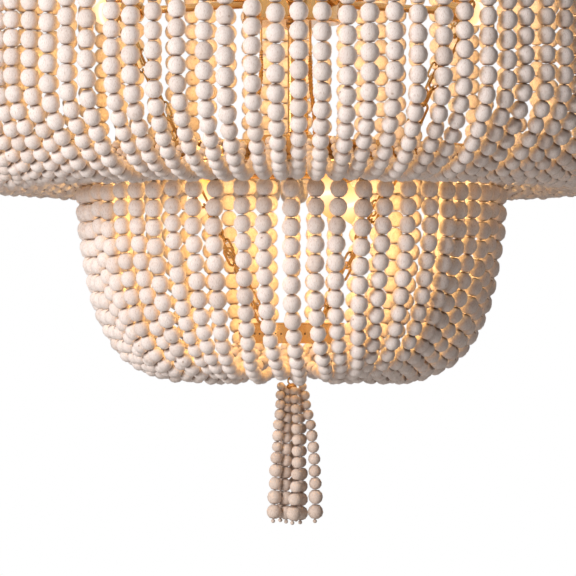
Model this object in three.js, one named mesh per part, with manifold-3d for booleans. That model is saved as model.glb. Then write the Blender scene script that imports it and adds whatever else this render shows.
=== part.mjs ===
// Beaded chandelier: strands of wooden beads on a polished gold frame, hung by a chain from a canopy.
// Millimetres, +Z up. The origin is on the ceiling, on the fixture's axis, and the photographed
// front looks towards -Y. A strand of beads is one three-sided tube with the beads' width, and a quarter
// of each tier hangs from its own slice of the drilled rail that carries it.

import * as THREE from 'three';
import { mergeVertices } from 'three/addons/utils/BufferGeometryUtils.js';
import Module from 'manifold-3d';

const wasm = await Module();
wasm.setup();

// Clearances
const seatGap = 0.3;
const linkPlay = 0.5;
const strandGap = 0.4;
const cutOverrun = 5;
const weldDepth = 1;

// Canopy, its loop and the knurled collar that holds it up
const canopyRadius = 65;
const canopyDepth = 32;
const canopyWall = 1.2;
const canopyFlange = 6;
const canopyShoulderShares = [[1, 0.22], [0.86, 0.62], [0.5, 0.9]];
const loopShankRadius = 11;
const loopShankRise = 5;
const collarRadius = 17;
const collarHeight = 8;
const loopShoulderRadius = 13;
const loopShoulderHeight = 8;
const loopRadius = 12;
const loopWireRadius = 3;
const loopRootDepth = 2;

// Ceiling crossbar with its stirrup, nipple and locknut
const crossbarEndMargin = 13;
const crossbarLength = 2 * (canopyRadius - crossbarEndMargin);
const crossbarWidth = 22;
const crossbarThickness = 3;
const slotEndMargin = 12;
const slotSpacing = crossbarLength - 2 * slotEndMargin;
const slotLength = 14;
const slotWidth = 4.6;
const stirrupWidth = 30;
const stirrupDepth = 16;
const stirrupHeight = 18;
const stirrupWall = 3;
const nippleRadius = 4.9;
const nippleBore = 3.2;
const nippleLength = 26;
const nippleTopMargin = 1.5;
const locknutRadius = 8;
const locknutThickness = 4;

// Suspension chain
const linkCount = 5;
const linkLength = 40;
const linkWidth = 26;
const linkWireRadius = 2.25;

// Stem, crown ring and spider
const topBossRadius = 11;
const topBossHeight = 14;
const stemRadius = 8;
const crownDrop = 36;
const crownRingRadius = 55;
const crownBandHeight = 12;
const crownBandThickness = 2;
const spiderHubRadius = 14;
const spiderBarWidth = 8;
const spiderBarThickness = 4;

// Main ring and its spokes
const crownHeight = 230;
const mainRingRadius = 400;
const mainBandHeight = 20;
const mainBandThickness = 2.5;
const spokeHubRadius = 18;
const spokeWidth = 12;
const spokeThickness = 6;
const spokeRise = 2;

// Upper light hub, arms, sockets and lamps
const hubDrop = 40;
const hubRadius = 50;
const hubHeight = 47;
const hubRimHeight = 4;
const hubRimProud = 1.6;
const hubDomeRadius = 20;
const hubDomeHeight = 9;
const armRadius = 4.2;
const armDrop = 24;
const armReach = 185;
const socketRadius = 11.2;
const socketHeelRadius = 6.5;
const socketHeelLength = 5;
const socketLength = 22;
const lampBaseRadius = 5.8;
const lampBaseLength = 14;
const lampGlassRadius = 14;
const lampGlassLength = 46;
const lampGlassShares = [[0.5, 0], [0.92, 0.26], [1, 0.46], [0.62, 0.78]];

// Dropper leads between the two light hubs
const dropperRadius = 32;
const dropperRodRadius = 1.3;
const dropperRodLength = 27;
const ferruleRadius = 2.3;
const ferruleWaistRadius = 1.5;
const ferruleLength = 11;
const leadRadius = 2.6;
const leadSpread = 8;
const leadStraight = 12;

// Lower light hub, arms and lamps
const lowerStemRadius = 4;
const lowerStemLength = 117;
const lowerHubRadius = 46;
const lowerHubHeight = 22;
const lowerArmReach = 28;
const lowerArmBend = 8;
const lowerSocketTilt = THREE.MathUtils.degToRad(18);

// Middle ring, bottom band and the cross plate that carries the tassel
const midRingDrop = 227;
const midRingRadius = 216;
const midBandHeight = 16;
const midBandThickness = 2.5;
const bottomBandDrop = 181.5;
const bottomBandRadius = 54;
const bottomBandHeight = 20.8;
const bottomBandThickness = 1.5;
const crossPlateWidth = 14;
const crossPlateThickness = 2.5;
const crossPlateRise = 4;

// Small chains that carry the rings
const chainLinkLength = 23;
const chainLinkWidth = 10.4;
const chainWireRadius = 1.1;

// Rails and bead strands
const strandInset = 4;
const railHeight = 4;
const railWidth = 20;
const railFacets = 28;
const upperBeadRadius = 9;
const upperCurveBeadRadius = 8;
const lowerBeadRadius = 9;
const lowerCurveBeadRadius = 8;
const crownBeadRadius = 7;
const lowerStrandPitch = 24.24;
const crownStrandRise = 6;
const upperBellyDepth = 246;
const lowerBellyDepth = 214;

// Outlines of the strands: how far out between the inner and the outer ring, and how far down the drop
const upperRunShares = [[1, 0.726], [0.859, 0.906], [0.52, 1]];
const lowerRunShares = [[0.923, 0.585], [0.775, 0.865], [0.42, 1]];
const crownRunShares = [[0.12, 0.42], [0.5, 0.82]];

// Tassel
const eyeRodRadius = 1.6;
const eyeRodLength = 29;
const eyeRadius = 3.6;
const tasselWireRadius = 0.9;
const tasselRingRadius = 4.4;
const tasselPlay = 0.35;
const tasselCapRadius = 9.5;
const tasselCapHeight = 5;
const tasselCapCrownRadius = 3;
const tasselBeadCount = 12;
const tasselTopBeadRadius = 3.8;
const tasselEndBeadRadius = 7.7;
const tasselTopSpread = 8.3;
const tasselEndSpread = 20.5;
const tasselSeedRadius = 2.1;
const tasselNeckShare = 0.45;

// Counts of facets and copies
const ringFacets = 56;
const smallRingFacets = 28;
const drumFacets = 20;
const turnedFacets = 12;
const socketFacets = 8;
const wireFacets = 6;
const strandFacets = 3;
const ovalSteps = 5;
const armCount = 6;
const spiderBarCount = 4;
const dropperCount = 3;
const quadrantCount = 4;
const outerTasselStrands = 6;
const chainStepCount = 5;

// Materials
const beadWood = new THREE.MeshStandardMaterial({ color: 0xe6dedb, roughness: 0.75 });
const polishedGold = new THREE.MeshStandardMaterial({ color: 0xd9a441, roughness: 0.22, metalness: 1 });
const chainGold = new THREE.MeshStandardMaterial({ color: 0xc8892b, roughness: 0.3, metalness: 1 });
const zincSteel = new THREE.MeshStandardMaterial({ color: 0xb9bcc0, roughness: 0.4, metalness: 1 });
const lampGlass = new THREE.MeshStandardMaterial({ color: 0xffe2b0, roughness: 0.1 });
const twistedLead = new THREE.MeshStandardMaterial({ color: 0xc9973f, roughness: 0.6 });

const fixture = new THREE.Group();

function addPiece(name, geometry, material) {
  const mesh = new THREE.Mesh(geometry, material);
  mesh.name = name;
  fixture.add(mesh);
  return mesh;
}

// Turns a mesh's faces outwards if its volume comes out negative
function outward(geometry) {
  const position = geometry.attributes.position;
  const index = geometry.index.array;
  const a = new THREE.Vector3();
  const b = new THREE.Vector3();
  const c = new THREE.Vector3();
  let volume = 0;
  for (let i = 0; i < index.length; i += 3) {
    a.fromBufferAttribute(position, index[i]);
    b.fromBufferAttribute(position, index[i + 1]);
    c.fromBufferAttribute(position, index[i + 2]);
    volume += a.dot(b.cross(c));
  }
  if (volume < 0) {
    for (let i = 0; i < index.length; i += 3) {
      [index[i + 1], index[i + 2]] = [index[i + 2], index[i + 1]];
    }
  }
  return geometry;
}

// Keeps only the positions of a library shape, with shared corners and no collapsed triangles
function bare(source) {
  const stripped = source.clone();
  stripped.deleteAttribute('normal');
  stripped.deleteAttribute('uv');
  const geometry = mergeVertices(stripped);
  const index = geometry.index.array;
  const kept = [];
  for (let i = 0; i < index.length; i += 3) {
    const [a, b, c] = [index[i], index[i + 1], index[i + 2]];
    if (a !== b && b !== c && c !== a) kept.push(a, b, c);
  }
  geometry.setIndex(kept);
  return outward(geometry);
}

// Revolves an outline of [radius, height] points around the Z axis
function turned(outline, facets) {
  const points = outline.map(([radius, height]) => new THREE.Vector2(radius, height));
  return bare(new THREE.LatheGeometry(points, facets).rotateX(Math.PI / 2));
}

// A flat band bent into a ring, centred on its middle height
function band(radius, height, thickness, facets) {
  const inner = radius - thickness / 2;
  const outer = radius + thickness / 2;
  const half = height / 2;
  return turned([[inner, -half], [outer, -half], [outer, half], [inner, half], [inner, -half]], facets);
}

// Joins rings of corners into one closed body, as a tube with ends or as an endless loop
function skin(rings, endless) {
  const sides = rings[0].length;
  const corners = rings.flat();
  const faces = [];
  const spans = endless ? rings.length : rings.length - 1;
  for (let span = 0; span < spans; span++) {
    const near = span * sides;
    const far = ((span + 1) % rings.length) * sides;
    for (let side = 0; side < sides; side++) {
      const next = (side + 1) % sides;
      faces.push(near + side, near + next, far + next);
      faces.push(near + side, far + next, far + side);
    }
  }
  if (!endless) {
    const last = (rings.length - 1) * sides;
    for (let side = 1; side + 1 < sides; side++) {
      faces.push(0, side + 1, side);
      faces.push(last, last + side, last + side + 1);
    }
  }
  const geometry = new THREE.BufferGeometry();
  geometry.setAttribute('position', new THREE.Float32BufferAttribute(corners.flatMap((p) => p.toArray()), 3));
  geometry.setIndex(faces);
  return outward(geometry);
}

// A tube whose path lies in the XZ plane. A cut is the direction in which an end's face lies.
function planeTube(path, radii, facets, startCut, endCut) {
  const normalOf = (from, to) => {
    const run = to.clone().sub(from).normalize();
    return new THREE.Vector2(-run.y, run.x);
  };
  const rings = path.map((point, i) => {
    const before = normalOf(path[Math.max(i, 1) - 1], path[Math.max(i, 1)]);
    const next = Math.min(i, path.length - 2);
    const after = normalOf(path[next], path[next + 1]);
    let across = before.clone().add(after).normalize();
    if (i === 0 && startCut) across = startCut.clone();
    if (i === path.length - 1 && endCut) across = endCut.clone();
    const stretch = 1 / across.dot(i === 0 ? after : before);
    return Array.from({ length: facets }, (_, side) => {
      const angle = ((side + 0.5) / facets) * 2 * Math.PI;
      const offset = across.clone().multiplyScalar(radii[i] * Math.cos(angle) * stretch);
      return new THREE.Vector3(point.x + offset.x, radii[i] * Math.sin(angle), point.y + offset.y);
    });
  });
  return skin(rings, false);
}

// A wire bent into a closed loop in the XZ plane
function loopWire(path, radius, facets) {
  const rings = path.map((point, i) => {
    const previous = path[(i + path.length - 1) % path.length];
    const next = path[(i + 1) % path.length];
    const runIn = point.clone().sub(previous).normalize();
    const runOut = next.clone().sub(point).normalize();
    const across = new THREE.Vector2(runIn.y + runOut.y, -runIn.x - runOut.x).normalize();
    const stretch = 1 / across.dot(new THREE.Vector2(runIn.y, -runIn.x));
    return Array.from({ length: facets }, (_, side) => {
      const angle = (side / facets) * 2 * Math.PI;
      const offset = across.clone().multiplyScalar(radius * Math.cos(angle) * stretch);
      return new THREE.Vector3(point.x + offset.x, radius * Math.sin(angle), point.y + offset.y);
    });
  });
  return skin(rings, true);
}

// Centre line of an oval with round ends, each with a flat facet in its middle
function ovalPath(halfWidth, halfLength) {
  const flatShare = Math.cos(Math.PI / (2 * ovalSteps));
  const straight = halfLength - halfWidth;
  const path = [];
  for (const end of [1, -1]) {
    for (let step = 0; step <= ovalSteps; step++) {
      const angle = (step / ovalSteps) * Math.PI;
      const rise = straight + (halfWidth * Math.sin(angle)) / flatShare;
      path.push(new THREE.Vector2(end * halfWidth * Math.cos(angle), end * rise));
    }
  }
  return path.filter((point, i) => point.distanceTo(path[(i + 1) % path.length]) > seatGap);
}

// A slice of a flat band between two directions
function bandSlice(radius, height, thickness, start, end, facets) {
  const corners = [[-1, -1], [1, -1], [1, 1], [-1, 1]];
  return skin(Array.from({ length: facets + 1 }, (_, i) => {
    const angle = THREE.MathUtils.lerp(start, end, i / facets);
    return corners.map(([out, up]) => {
      const reach = radius + (out * thickness) / 2;
      return new THREE.Vector3(reach * Math.cos(angle), reach * Math.sin(angle), (up * height) / 2);
    });
  }), false);
}

// Copies of a shape turned about the Z axis
function fan(geometry, angles) {
  return angles.map((angle) => geometry.clone().rotateZ(angle));
}

function evenAngles(count, start = 0) {
  return Array.from({ length: count }, (_, i) => start + (i / count) * 2 * Math.PI);
}

function toSolid(geometry) {
  const vertProperties = new Float32Array(geometry.attributes.position.array);
  const triVerts = new Uint32Array(geometry.index.array);
  return new wasm.Manifold(new wasm.Mesh({ numProp: 3, vertProperties, triVerts }));
}

function toGeometry(solid) {
  const mesh = solid.getMesh();
  const geometry = new THREE.BufferGeometry();
  geometry.setAttribute('position', new THREE.Float32BufferAttribute(mesh.vertProperties, 3));
  geometry.setIndex(Array.from(mesh.triVerts));
  return geometry;
}

function join(...geometries) {
  return toGeometry(geometries.map(toSolid).reduce((whole, piece) => whole.add(piece)));
}

function cut(body, ...tools) {
  return toGeometry(tools.map(toSolid).reduce((left, tool) => left.subtract(tool), toSolid(body)));
}

function block(width, depth, height, x, y, z) {
  return bare(new THREE.BoxGeometry(width, depth, height).translate(x, y, z));
}

function rod(radius, low, high, facets) {
  return turned([[0, low], [radius, low], [radius, high], [0, high]], facets);
}

// The radius of a many-sided ring's flats, where its corners lie at the given radius
function flatRadius(radius, facets) {
  return radius * Math.cos(Math.PI / facets);
}

// The corner radius of a many-sided bore that lets a round piece of the given radius turn in it
function boreRadius(radius, facets) {
  return (radius + seatGap) / Math.cos(Math.PI / facets);
}

// Heights down the axis, each from the one above it
const stirrupTop = -crossbarThickness - seatGap;
const stirrupBottom = stirrupTop - stirrupHeight;
const stirrupFloor = stirrupBottom + stirrupWall;
const locknutBottom = stirrupFloor + seatGap;
const nippleTop = locknutBottom + locknutThickness + nippleTopMargin;
const nippleBottom = nippleTop - nippleLength;
const collarTop = -canopyDepth - seatGap;
const shoulderTop = collarTop - collarHeight - seatGap;
const shoulderBottom = shoulderTop - loopShoulderHeight;
const loopCentre = shoulderBottom - loopRadius + loopRootDepth;
const linkHalf = linkLength / 2 - linkWireRadius;
const loopPitch = loopWireRadius + linkWireRadius + linkPlay;
const linkPitch = 2 * linkHalf - 2 * linkWireRadius - linkPlay;
const firstLinkCentre = loopCentre - loopRadius + loopPitch - linkHalf;
const linkCentre = (i) => firstLinkCentre - i * linkPitch;
const topLoopCentre = linkCentre(linkCount - 1) - linkHalf + loopPitch - loopRadius;
const topBossTop = topLoopCentre - loopRadius + loopRootDepth;
const stemTop = topBossTop - topBossHeight - seatGap;
const crownRingHeight = stemTop - crownDrop;
const mainRingHeight = crownRingHeight - crownHeight;
const spokeBottom = mainRingHeight - mainBandHeight / 2 + spokeRise;
const hubTop = mainRingHeight - hubDrop;
const hubBottom = hubTop - hubHeight;
const armHeight = hubTop - armDrop;
const lowerHubTop = hubBottom - lowerStemLength - 2 * seatGap;
const lowerHubBottom = lowerHubTop - lowerHubHeight;
const midRingHeight = mainRingHeight - midRingDrop;
const midBandTop = midRingHeight + midBandHeight / 2;
const midBandBottom = midRingHeight - midBandHeight / 2;
const bottomBandMiddle = midRingHeight - bottomBandDrop;
const bottomBandBottom = bottomBandMiddle - bottomBandHeight / 2;
const bottomBandTop = bottomBandMiddle + bottomBandHeight / 2;
const crossPlateBottom = bottomBandBottom + crossPlateRise;

function makeCrossbar() {
  const bar = block(crossbarLength, crossbarWidth, crossbarThickness, 0, 0, -crossbarThickness / 2);
  const slots = [-1, 1].map((side) => block(
    slotLength, slotWidth, crossbarThickness + cutOverrun, (side * slotSpacing) / 2, 0, -crossbarThickness / 2));
  addPiece('ceiling_crossbar', cut(bar, ...slots), zincSteel);

  const middle = (stirrupTop + stirrupBottom) / 2;
  const frame = block(stirrupWidth, stirrupDepth, stirrupHeight, 0, 0, middle);
  const window = block(
    stirrupWidth - 2 * stirrupWall, stirrupDepth + cutOverrun, stirrupHeight - 2 * stirrupWall, 0, 0, middle);
  const hole = rod(nippleRadius + seatGap, stirrupBottom - cutOverrun, stirrupFloor + cutOverrun, turnedFacets);
  addPiece('crossbar_stirrup', cut(frame, window, hole), zincSteel);

  const locknutTop = locknutBottom + locknutThickness;
  const bore = rod(nippleRadius + seatGap, locknutBottom - cutOverrun, locknutTop + cutOverrun, turnedFacets);
  addPiece('nipple_locknut', cut(rod(locknutRadius, locknutBottom, locknutTop, wireFacets), bore), zincSteel);

  addPiece('threaded_nipple', turned([
    [nippleBore, nippleBottom],
    [nippleRadius, nippleBottom],
    [nippleRadius, nippleTop],
    [nippleBore, nippleTop],
    [nippleBore, nippleBottom],
  ], turnedFacets), zincSteel);
}

// A spun dish with a flat flange against the ceiling and a hole for the loop's shank
function makeCanopy() {
  const hole = loopShankRadius + seatGap;
  const outerSide = canopyShoulderShares.map(([out, down]) => [canopyRadius * out, -canopyDepth * down]);
  const innerSide = canopyShoulderShares.map(([out, down]) => [
    canopyRadius * out - canopyWall, -(canopyDepth - canopyWall) * down]);
  addPiece('canopy', turned([
    [canopyRadius - canopyFlange, 0],
    [canopyRadius, 0],
    ...outerSide,
    [loopShoulderRadius + canopyWall, -canopyDepth],
    [hole, -canopyDepth],
    [hole, -canopyDepth + canopyWall],
    [loopShoulderRadius, -canopyDepth + canopyWall],
    ...innerSide.reverse(),
    [canopyRadius - canopyWall, -canopyWall],
    [canopyRadius - canopyFlange, -canopyWall],
    [canopyRadius - canopyFlange, 0],
  ], drumFacets), polishedGold);

  const shankTop = -canopyDepth + loopShankRise;
  const shank = turned([
    [0, shoulderBottom],
    [loopShoulderRadius, shoulderBottom],
    [loopShoulderRadius, shoulderTop],
    [loopShankRadius, shoulderTop],
    [loopShankRadius, shankTop],
    [nippleRadius + seatGap, shankTop],
    [nippleRadius + seatGap, nippleBottom - seatGap],
    [0, nippleBottom - seatGap],
  ], turnedFacets);
  const eye = loopWire(ovalPath(loopRadius, loopRadius), loopWireRadius, wireFacets).translate(0, 0, loopCentre);
  addPiece('canopy_loop', join(shank, eye), polishedGold);

  const collarBore = boreRadius(loopShankRadius, turnedFacets);
  addPiece('collar_ring', turned([
    [collarBore, collarTop - collarHeight],
    [collarRadius, collarTop - collarHeight],
    [collarRadius, collarTop],
    [collarBore, collarTop],
    [collarBore, collarTop - collarHeight],
  ], turnedFacets), polishedGold);
}

// Links hang at right angles to each other, the first across the canopy's loop
function makeSuspensionChain() {
  const halfWidth = linkWidth / 2 - linkWireRadius;
  const link = loopWire(ovalPath(halfWidth, linkHalf), linkWireRadius, wireFacets);
  for (let i = 0; i < linkCount; i++) {
    const mesh = addPiece(`chain_link_${i + 1}`, link, polishedGold);
    mesh.position.z = linkCentre(i);
    mesh.rotation.z = i % 2 === 0 ? Math.PI / 2 : 0;
  }
}

function makeStemAndCrown() {
  const boss = rod(topBossRadius, topBossTop - topBossHeight, topBossTop, turnedFacets);
  const eye = loopWire(ovalPath(loopRadius, loopRadius), loopWireRadius, wireFacets).translate(0, 0, topLoopCentre);
  addPiece('top_loop', join(boss, eye), polishedGold);
  addPiece('stem', rod(stemRadius, hubTop + seatGap, stemTop, turnedFacets), polishedGold);

  const ring = band(crownRingRadius, crownBandHeight, crownBandThickness, smallRingFacets);
  addPiece('crown_ring', ring.translate(0, 0, crownRingHeight), polishedGold);
  const barEnd = flatRadius(crownRingRadius - crownBandThickness / 2, smallRingFacets) - seatGap;
  addPiece('crown_spider', spokedHub(
    spiderHubRadius, spiderBarThickness, spiderBarWidth, barEnd, spiderBarCount, crownRingHeight), polishedGold);
}

// A collar round the stem and flat bars that run out to a ring
function spokedHub(hubSize, thickness, width, barEnd, count, middle) {
  const bore = stemRadius + seatGap;
  const half = thickness / 2;
  const hub = turned([[bore, -half], [hubSize, -half], [hubSize, half], [bore, half], [bore, -half]], turnedFacets);
  const barStart = flatRadius(hubSize, turnedFacets) - weldDepth;
  const bar = block(barEnd - barStart, width, thickness, (barStart + barEnd) / 2, 0, 0);
  return join(hub, ...fan(bar, evenAngles(count))).translate(0, 0, middle);
}

function makeMainRing() {
  const ring = band(mainRingRadius, mainBandHeight, mainBandThickness, ringFacets);
  addPiece('main_ring', ring.translate(0, 0, mainRingHeight), polishedGold);
  const barEnd = flatRadius(mainRingRadius - mainBandThickness / 2, ringFacets) - seatGap;
  addPiece('main_spokes', spokedHub(
    spokeHubRadius, spokeThickness, spokeWidth, barEnd, armCount, spokeBottom + spokeThickness / 2), polishedGold);
}

function drumGeometry() {
  const rim = hubRadius + hubRimProud;
  return turned([
    [0, hubBottom],
    [rim, hubBottom],
    [rim, hubBottom + hubRimHeight],
    [hubRadius, hubBottom + hubRimHeight],
    [hubRadius, hubTop - hubDomeHeight],
    [hubDomeRadius, hubTop],
    [0, hubTop],
  ], drumFacets);
}

// A cup with a blind bore, its heel at zero and its mouth up
function socketGeometry() {
  const bore = boreRadius(lampBaseRadius, socketFacets);
  const floor = socketLength - lampBaseLength - seatGap;
  return turned([
    [0, 0],
    [socketHeelRadius, 0],
    [socketRadius, socketHeelLength],
    [socketRadius, socketLength],
    [bore, socketLength],
    [bore, floor],
    [0, floor],
  ], socketFacets);
}

// A candle lamp on its screw base, the base's end at zero and the tip up
function lampGeometry() {
  const glassStart = lampBaseLength + seatGap;
  const glass = lampGlassShares.map(([out, along]) => [lampGlassRadius * out, glassStart + lampGlassLength * along]);
  return turned([
    [0, 0],
    [lampBaseRadius, 0],
    [lampBaseRadius, glassStart],
    ...glass,
    [0, glassStart + lampGlassLength],
  ], socketFacets);
}

// Turns a shape that stands on +Z into the XZ plane at the given tilt, and moves its heel to a point
function laid(geometry, tilt, outwards, height) {
  return geometry.rotateY(tilt).translate(outwards, 0, height);
}

// The drum with its brazed arms and cups, and below it the turned ferrules that grip the leads
function makeUpperLights() {
  const angles = evenAngles(armCount, -Math.PI / 2);
  const armStart = flatRadius(hubRadius, drumFacets) - weldDepth;
  const arm = laid(rod(armRadius, armStart, armReach, socketFacets), Math.PI / 2, 0, armHeight);
  const socketStart = armReach - weldDepth;
  const socket = laid(socketGeometry(), Math.PI / 2, socketStart, armHeight);
  const ferrule = ferruleGeometry().translate(dropperRadius, 0, 0);
  addPiece('hub_drum', join(
    drumGeometry(), ...fan(arm, angles), ...fan(socket, angles), ...fan(ferrule, dropperAngles)), polishedGold);
  const lampStart = socketStart + socketLength - lampBaseLength;
  angles.forEach((angle, i) => {
    const lamp = laid(lampGeometry(), Math.PI / 2, lampStart, armHeight).rotateZ(angle);
    addPiece(`upper_lamp_${i + 1}`, lamp, lampGlass);
  });
}

// The photographed leads leave the hub a little left and right of the middle
const dropperAngles = evenAngles(dropperCount, THREE.MathUtils.degToRad(172));

const ferruleTop = hubBottom - dropperRodLength;
const ferruleBottom = ferruleTop - ferruleLength;

function ferruleGeometry() {
  return turned([
    [0, ferruleBottom],
    [ferruleRadius, ferruleBottom],
    [ferruleWaistRadius, (ferruleTop + ferruleBottom) / 2],
    [ferruleRadius, ferruleTop],
    [dropperRodRadius, ferruleTop],
    [dropperRodRadius, hubBottom + weldDepth],
    [0, hubBottom + weldDepth],
  ], wireFacets);
}

function makeDroppers() {
  const leadTop = ferruleBottom - seatGap;
  const leadBottom = lowerHubTop + seatGap;
  const route = [
    new THREE.Vector2(dropperRadius, leadTop),
    new THREE.Vector2(dropperRadius, leadTop - leadStraight),
    new THREE.Vector2(dropperRadius + leadSpread, leadBottom + leadStraight),
    new THREE.Vector2(dropperRadius + leadSpread, leadBottom),
  ];
  const lead = planeTube(route, route.map(() => leadRadius), socketFacets);
  fan(lead, dropperAngles).forEach((copy, i) => addPiece(`dropper_lead_${i + 1}`, copy, twistedLead));
}

function makeLowerLights() {
  addPiece('lower_stem', rod(lowerStemRadius, lowerHubTop + seatGap, hubBottom - seatGap, socketFacets), polishedGold);
  const hub = turned([
    [0, lowerHubBottom],
    [lowerHubRadius - hubRimProud, lowerHubBottom],
    [lowerHubRadius, lowerHubBottom + hubRimHeight],
    [lowerHubRadius, lowerHubTop],
    [0, lowerHubTop],
  ], drumFacets);

  const armMiddle = (lowerHubTop + lowerHubBottom) / 2;
  const armStart = flatRadius(lowerHubRadius, drumFacets) - weldDepth;
  const bendStart = armStart + lowerArmReach;
  const down = new THREE.Vector2(Math.sin(lowerSocketTilt), -Math.cos(lowerSocketTilt));
  const elbow = new THREE.Vector2(bendStart + lowerArmBend, armMiddle - lowerArmBend * (1 - Math.sin(lowerSocketTilt)));
  const armEnd = elbow.clone().addScaledVector(down, lowerArmBend);
  const route = [new THREE.Vector2(armStart, armMiddle), new THREE.Vector2(bendStart, armMiddle), elbow, armEnd];
  const arm = planeTube(route, route.map(() => armRadius), socketFacets);
  const tilt = Math.PI - lowerSocketTilt;
  const socketHeel = armEnd.clone().addScaledVector(down, -weldDepth);
  const socket = laid(socketGeometry(), tilt, socketHeel.x, socketHeel.y);
  addPiece('lower_hub', join(hub, ...fan(arm, dropperAngles), ...fan(socket, dropperAngles)), polishedGold);

  const lampHeel = socketHeel.clone().addScaledVector(down, socketLength - lampBaseLength);
  dropperAngles.forEach((angle, i) => {
    const lamp = laid(lampGeometry(), tilt, lampHeel.x, lampHeel.y).rotateZ(angle);
    addPiece(`lower_lamp_${i + 1}`, lamp, lampGlass);
  });
}

function makeLowerRings() {
  const mid = band(midRingRadius, midBandHeight, midBandThickness, ringFacets);
  addPiece('mid_ring', mid.translate(0, 0, midRingHeight), polishedGold);
  const bottom = band(bottomBandRadius, bottomBandHeight, bottomBandThickness, smallRingFacets);
  addPiece('bottom_band', bottom.translate(0, 0, bottomBandMiddle), polishedGold);
  const reach = flatRadius(bottomBandRadius - bottomBandThickness / 2, smallRingFacets) - seatGap;
  const plateLength = 2 * Math.sqrt(reach ** 2 - (crossPlateWidth / 2) ** 2);
  const plateMiddle = crossPlateBottom + crossPlateThickness / 2;
  const plate = block(plateLength, crossPlateWidth, crossPlateThickness, 0, 0, plateMiddle);
  addPiece('bottom_cross_plate', plate, polishedGold);
}

const midRailMiddle = midBandBottom - seatGap - railHeight / 2;
const mainRailMiddle = mainRingHeight - mainBandHeight / 2 - seatGap - railHeight / 2;
const crownRailMiddle = crownRingHeight - crownBandHeight / 2 - seatGap - railHeight / 2;

const lowerStrandCount = quadrantCount * Math.round(
  (2 * Math.PI * midRingRadius) / (quadrantCount * lowerStrandPitch));
const upperStrandCount = 2 * lowerStrandCount;
const crownStrandCount = lowerStrandCount / 2;

// A taut chain between two points of the XZ plane, its links at right angles in turn and grown together
// where they bear on each other. The number of links is odd, so that both end links lie along their rings.
function tautChain(from, to) {
  const span = to.clone().sub(from);
  const run = new THREE.Vector3(span.x, 0, span.y).normalize();
  const alongRing = new THREE.Vector3(0, 1, 0);
  const acrossRing = alongRing.clone().cross(run);
  const start = new THREE.Vector3(from.x, 0, from.y);
  const place = (across, along, down) => start.clone()
    .addScaledVector(acrossRing, across).addScaledVector(alongRing, along).addScaledVector(run, down);

  const wire = chainWireRadius;
  const pairs = Math.round((span.length() / (chainLinkLength - 2 * wire) - 1) / 2);
  const count = 2 * pairs + 1;
  const pitch = (span.length() - 2 * wire) / count;
  const corners = [];
  const faces = [];
  const ring = (points) => points.map((point) => corners.push(point) - 1);
  const wall = (near, far) => near.forEach((corner, i) => {
    const next = (i + 1) % near.length;
    faces.push(corner, near[next], far[next], corner, far[next], far[i]);
  });

  const crossing = (down) => ring([[wire, 0], [0, wire], [-wire, 0], [0, -wire]].map(
    ([across, along]) => place(across, along, down)));
  const bends = Array.from({ length: count + 1 }, (_, i) => [crossing(i * pitch), crossing(i * pitch + 2 * wire)]);
  bends.forEach(([near, far]) => wall(near, far));
  const [first] = bends[0];
  const last = bends[count][1];
  faces.push(first[0], first[2], first[1], first[0], first[3], first[2]);
  faces.push(last[0], last[1], last[2], last[0], last[2], last[3]);

  const flat = chainLinkWidth / 2 - 1.5 * wire;
  for (let link = 0; link < count; link++) {
    const middle = (link + 0.5) * pitch + wire;
    for (const side of [1, -1]) {
      const outer = (link % 2 === 0 ? 1 : 0) + (side === 1 ? 0 : 2);
      const roots = [outer, (outer + 1) % quadrantCount, (outer + 3) % quadrantCount];
      const elbow = [[(side * chainLinkWidth) / 2, 0], [side * flat, side * wire], [side * flat, -side * wire]];
      const bulge = ring(elbow.map(([out, aside]) => (
        link % 2 === 0 ? place(-aside, out, middle) : place(out, aside, middle))));
      wall(roots.map((corner) => bends[link][1][corner]), bulge);
      wall(bulge, roots.map((corner) => bends[link + 1][0][corner]));
    }
  }

  const geometry = new THREE.BufferGeometry();
  geometry.setAttribute('position', new THREE.Float32BufferAttribute(corners.flatMap((p) => p.toArray()), 3));
  geometry.setIndex(faces);
  return outward(geometry);
}

// The chains leave the inner edges of the rails half-way between two strands
function makeRingChains() {
  const step = ((2 * Math.PI) / lowerStrandCount) * chainStepCount;
  const angles = [-1, 1].flatMap((side) => [side * (Math.PI / 2) + step, side * (Math.PI / 2) - step]);
  const rest = seatGap + chainWireRadius;
  const mainEdge = flatRadius(mainRingRadius - railWidth / 2, railFacets) - rest;
  const midEdge = flatRadius(midRingRadius - railWidth / 2, railFacets) - rest;
  const upper = tautChain(
    new THREE.Vector2(mainEdge, mainRailMiddle), new THREE.Vector2(midRingRadius, midBandTop + rest));
  fan(upper, angles).forEach((copy, i) => addPiece(`upper_chain_${i + 1}`, copy, chainGold));
  const lower = tautChain(
    new THREE.Vector2(midEdge, midRailMiddle), new THREE.Vector2(bottomBandRadius, bottomBandTop + rest));
  fan(lower, angles).forEach((copy, i) => addPiece(`lower_chain_${i + 1}`, copy, chainGold));
}

// One strand in the XZ plane, its top sunk in the underside of its rail. The flat side that it turns
// outwards is as wide as its beads, or as the room that is left where the strands draw together.
function strandGeometry(path, beads, count, endCut) {
  const radii = path.map((point, i) => {
    const room = (Math.PI * (point.x - strandInset)) / count - strandGap / 2;
    return Math.min(beads[i], room) / Math.sin(Math.PI / strandFacets);
  });
  return planeTube(path, radii, strandFacets, radial, endCut);
}

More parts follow.
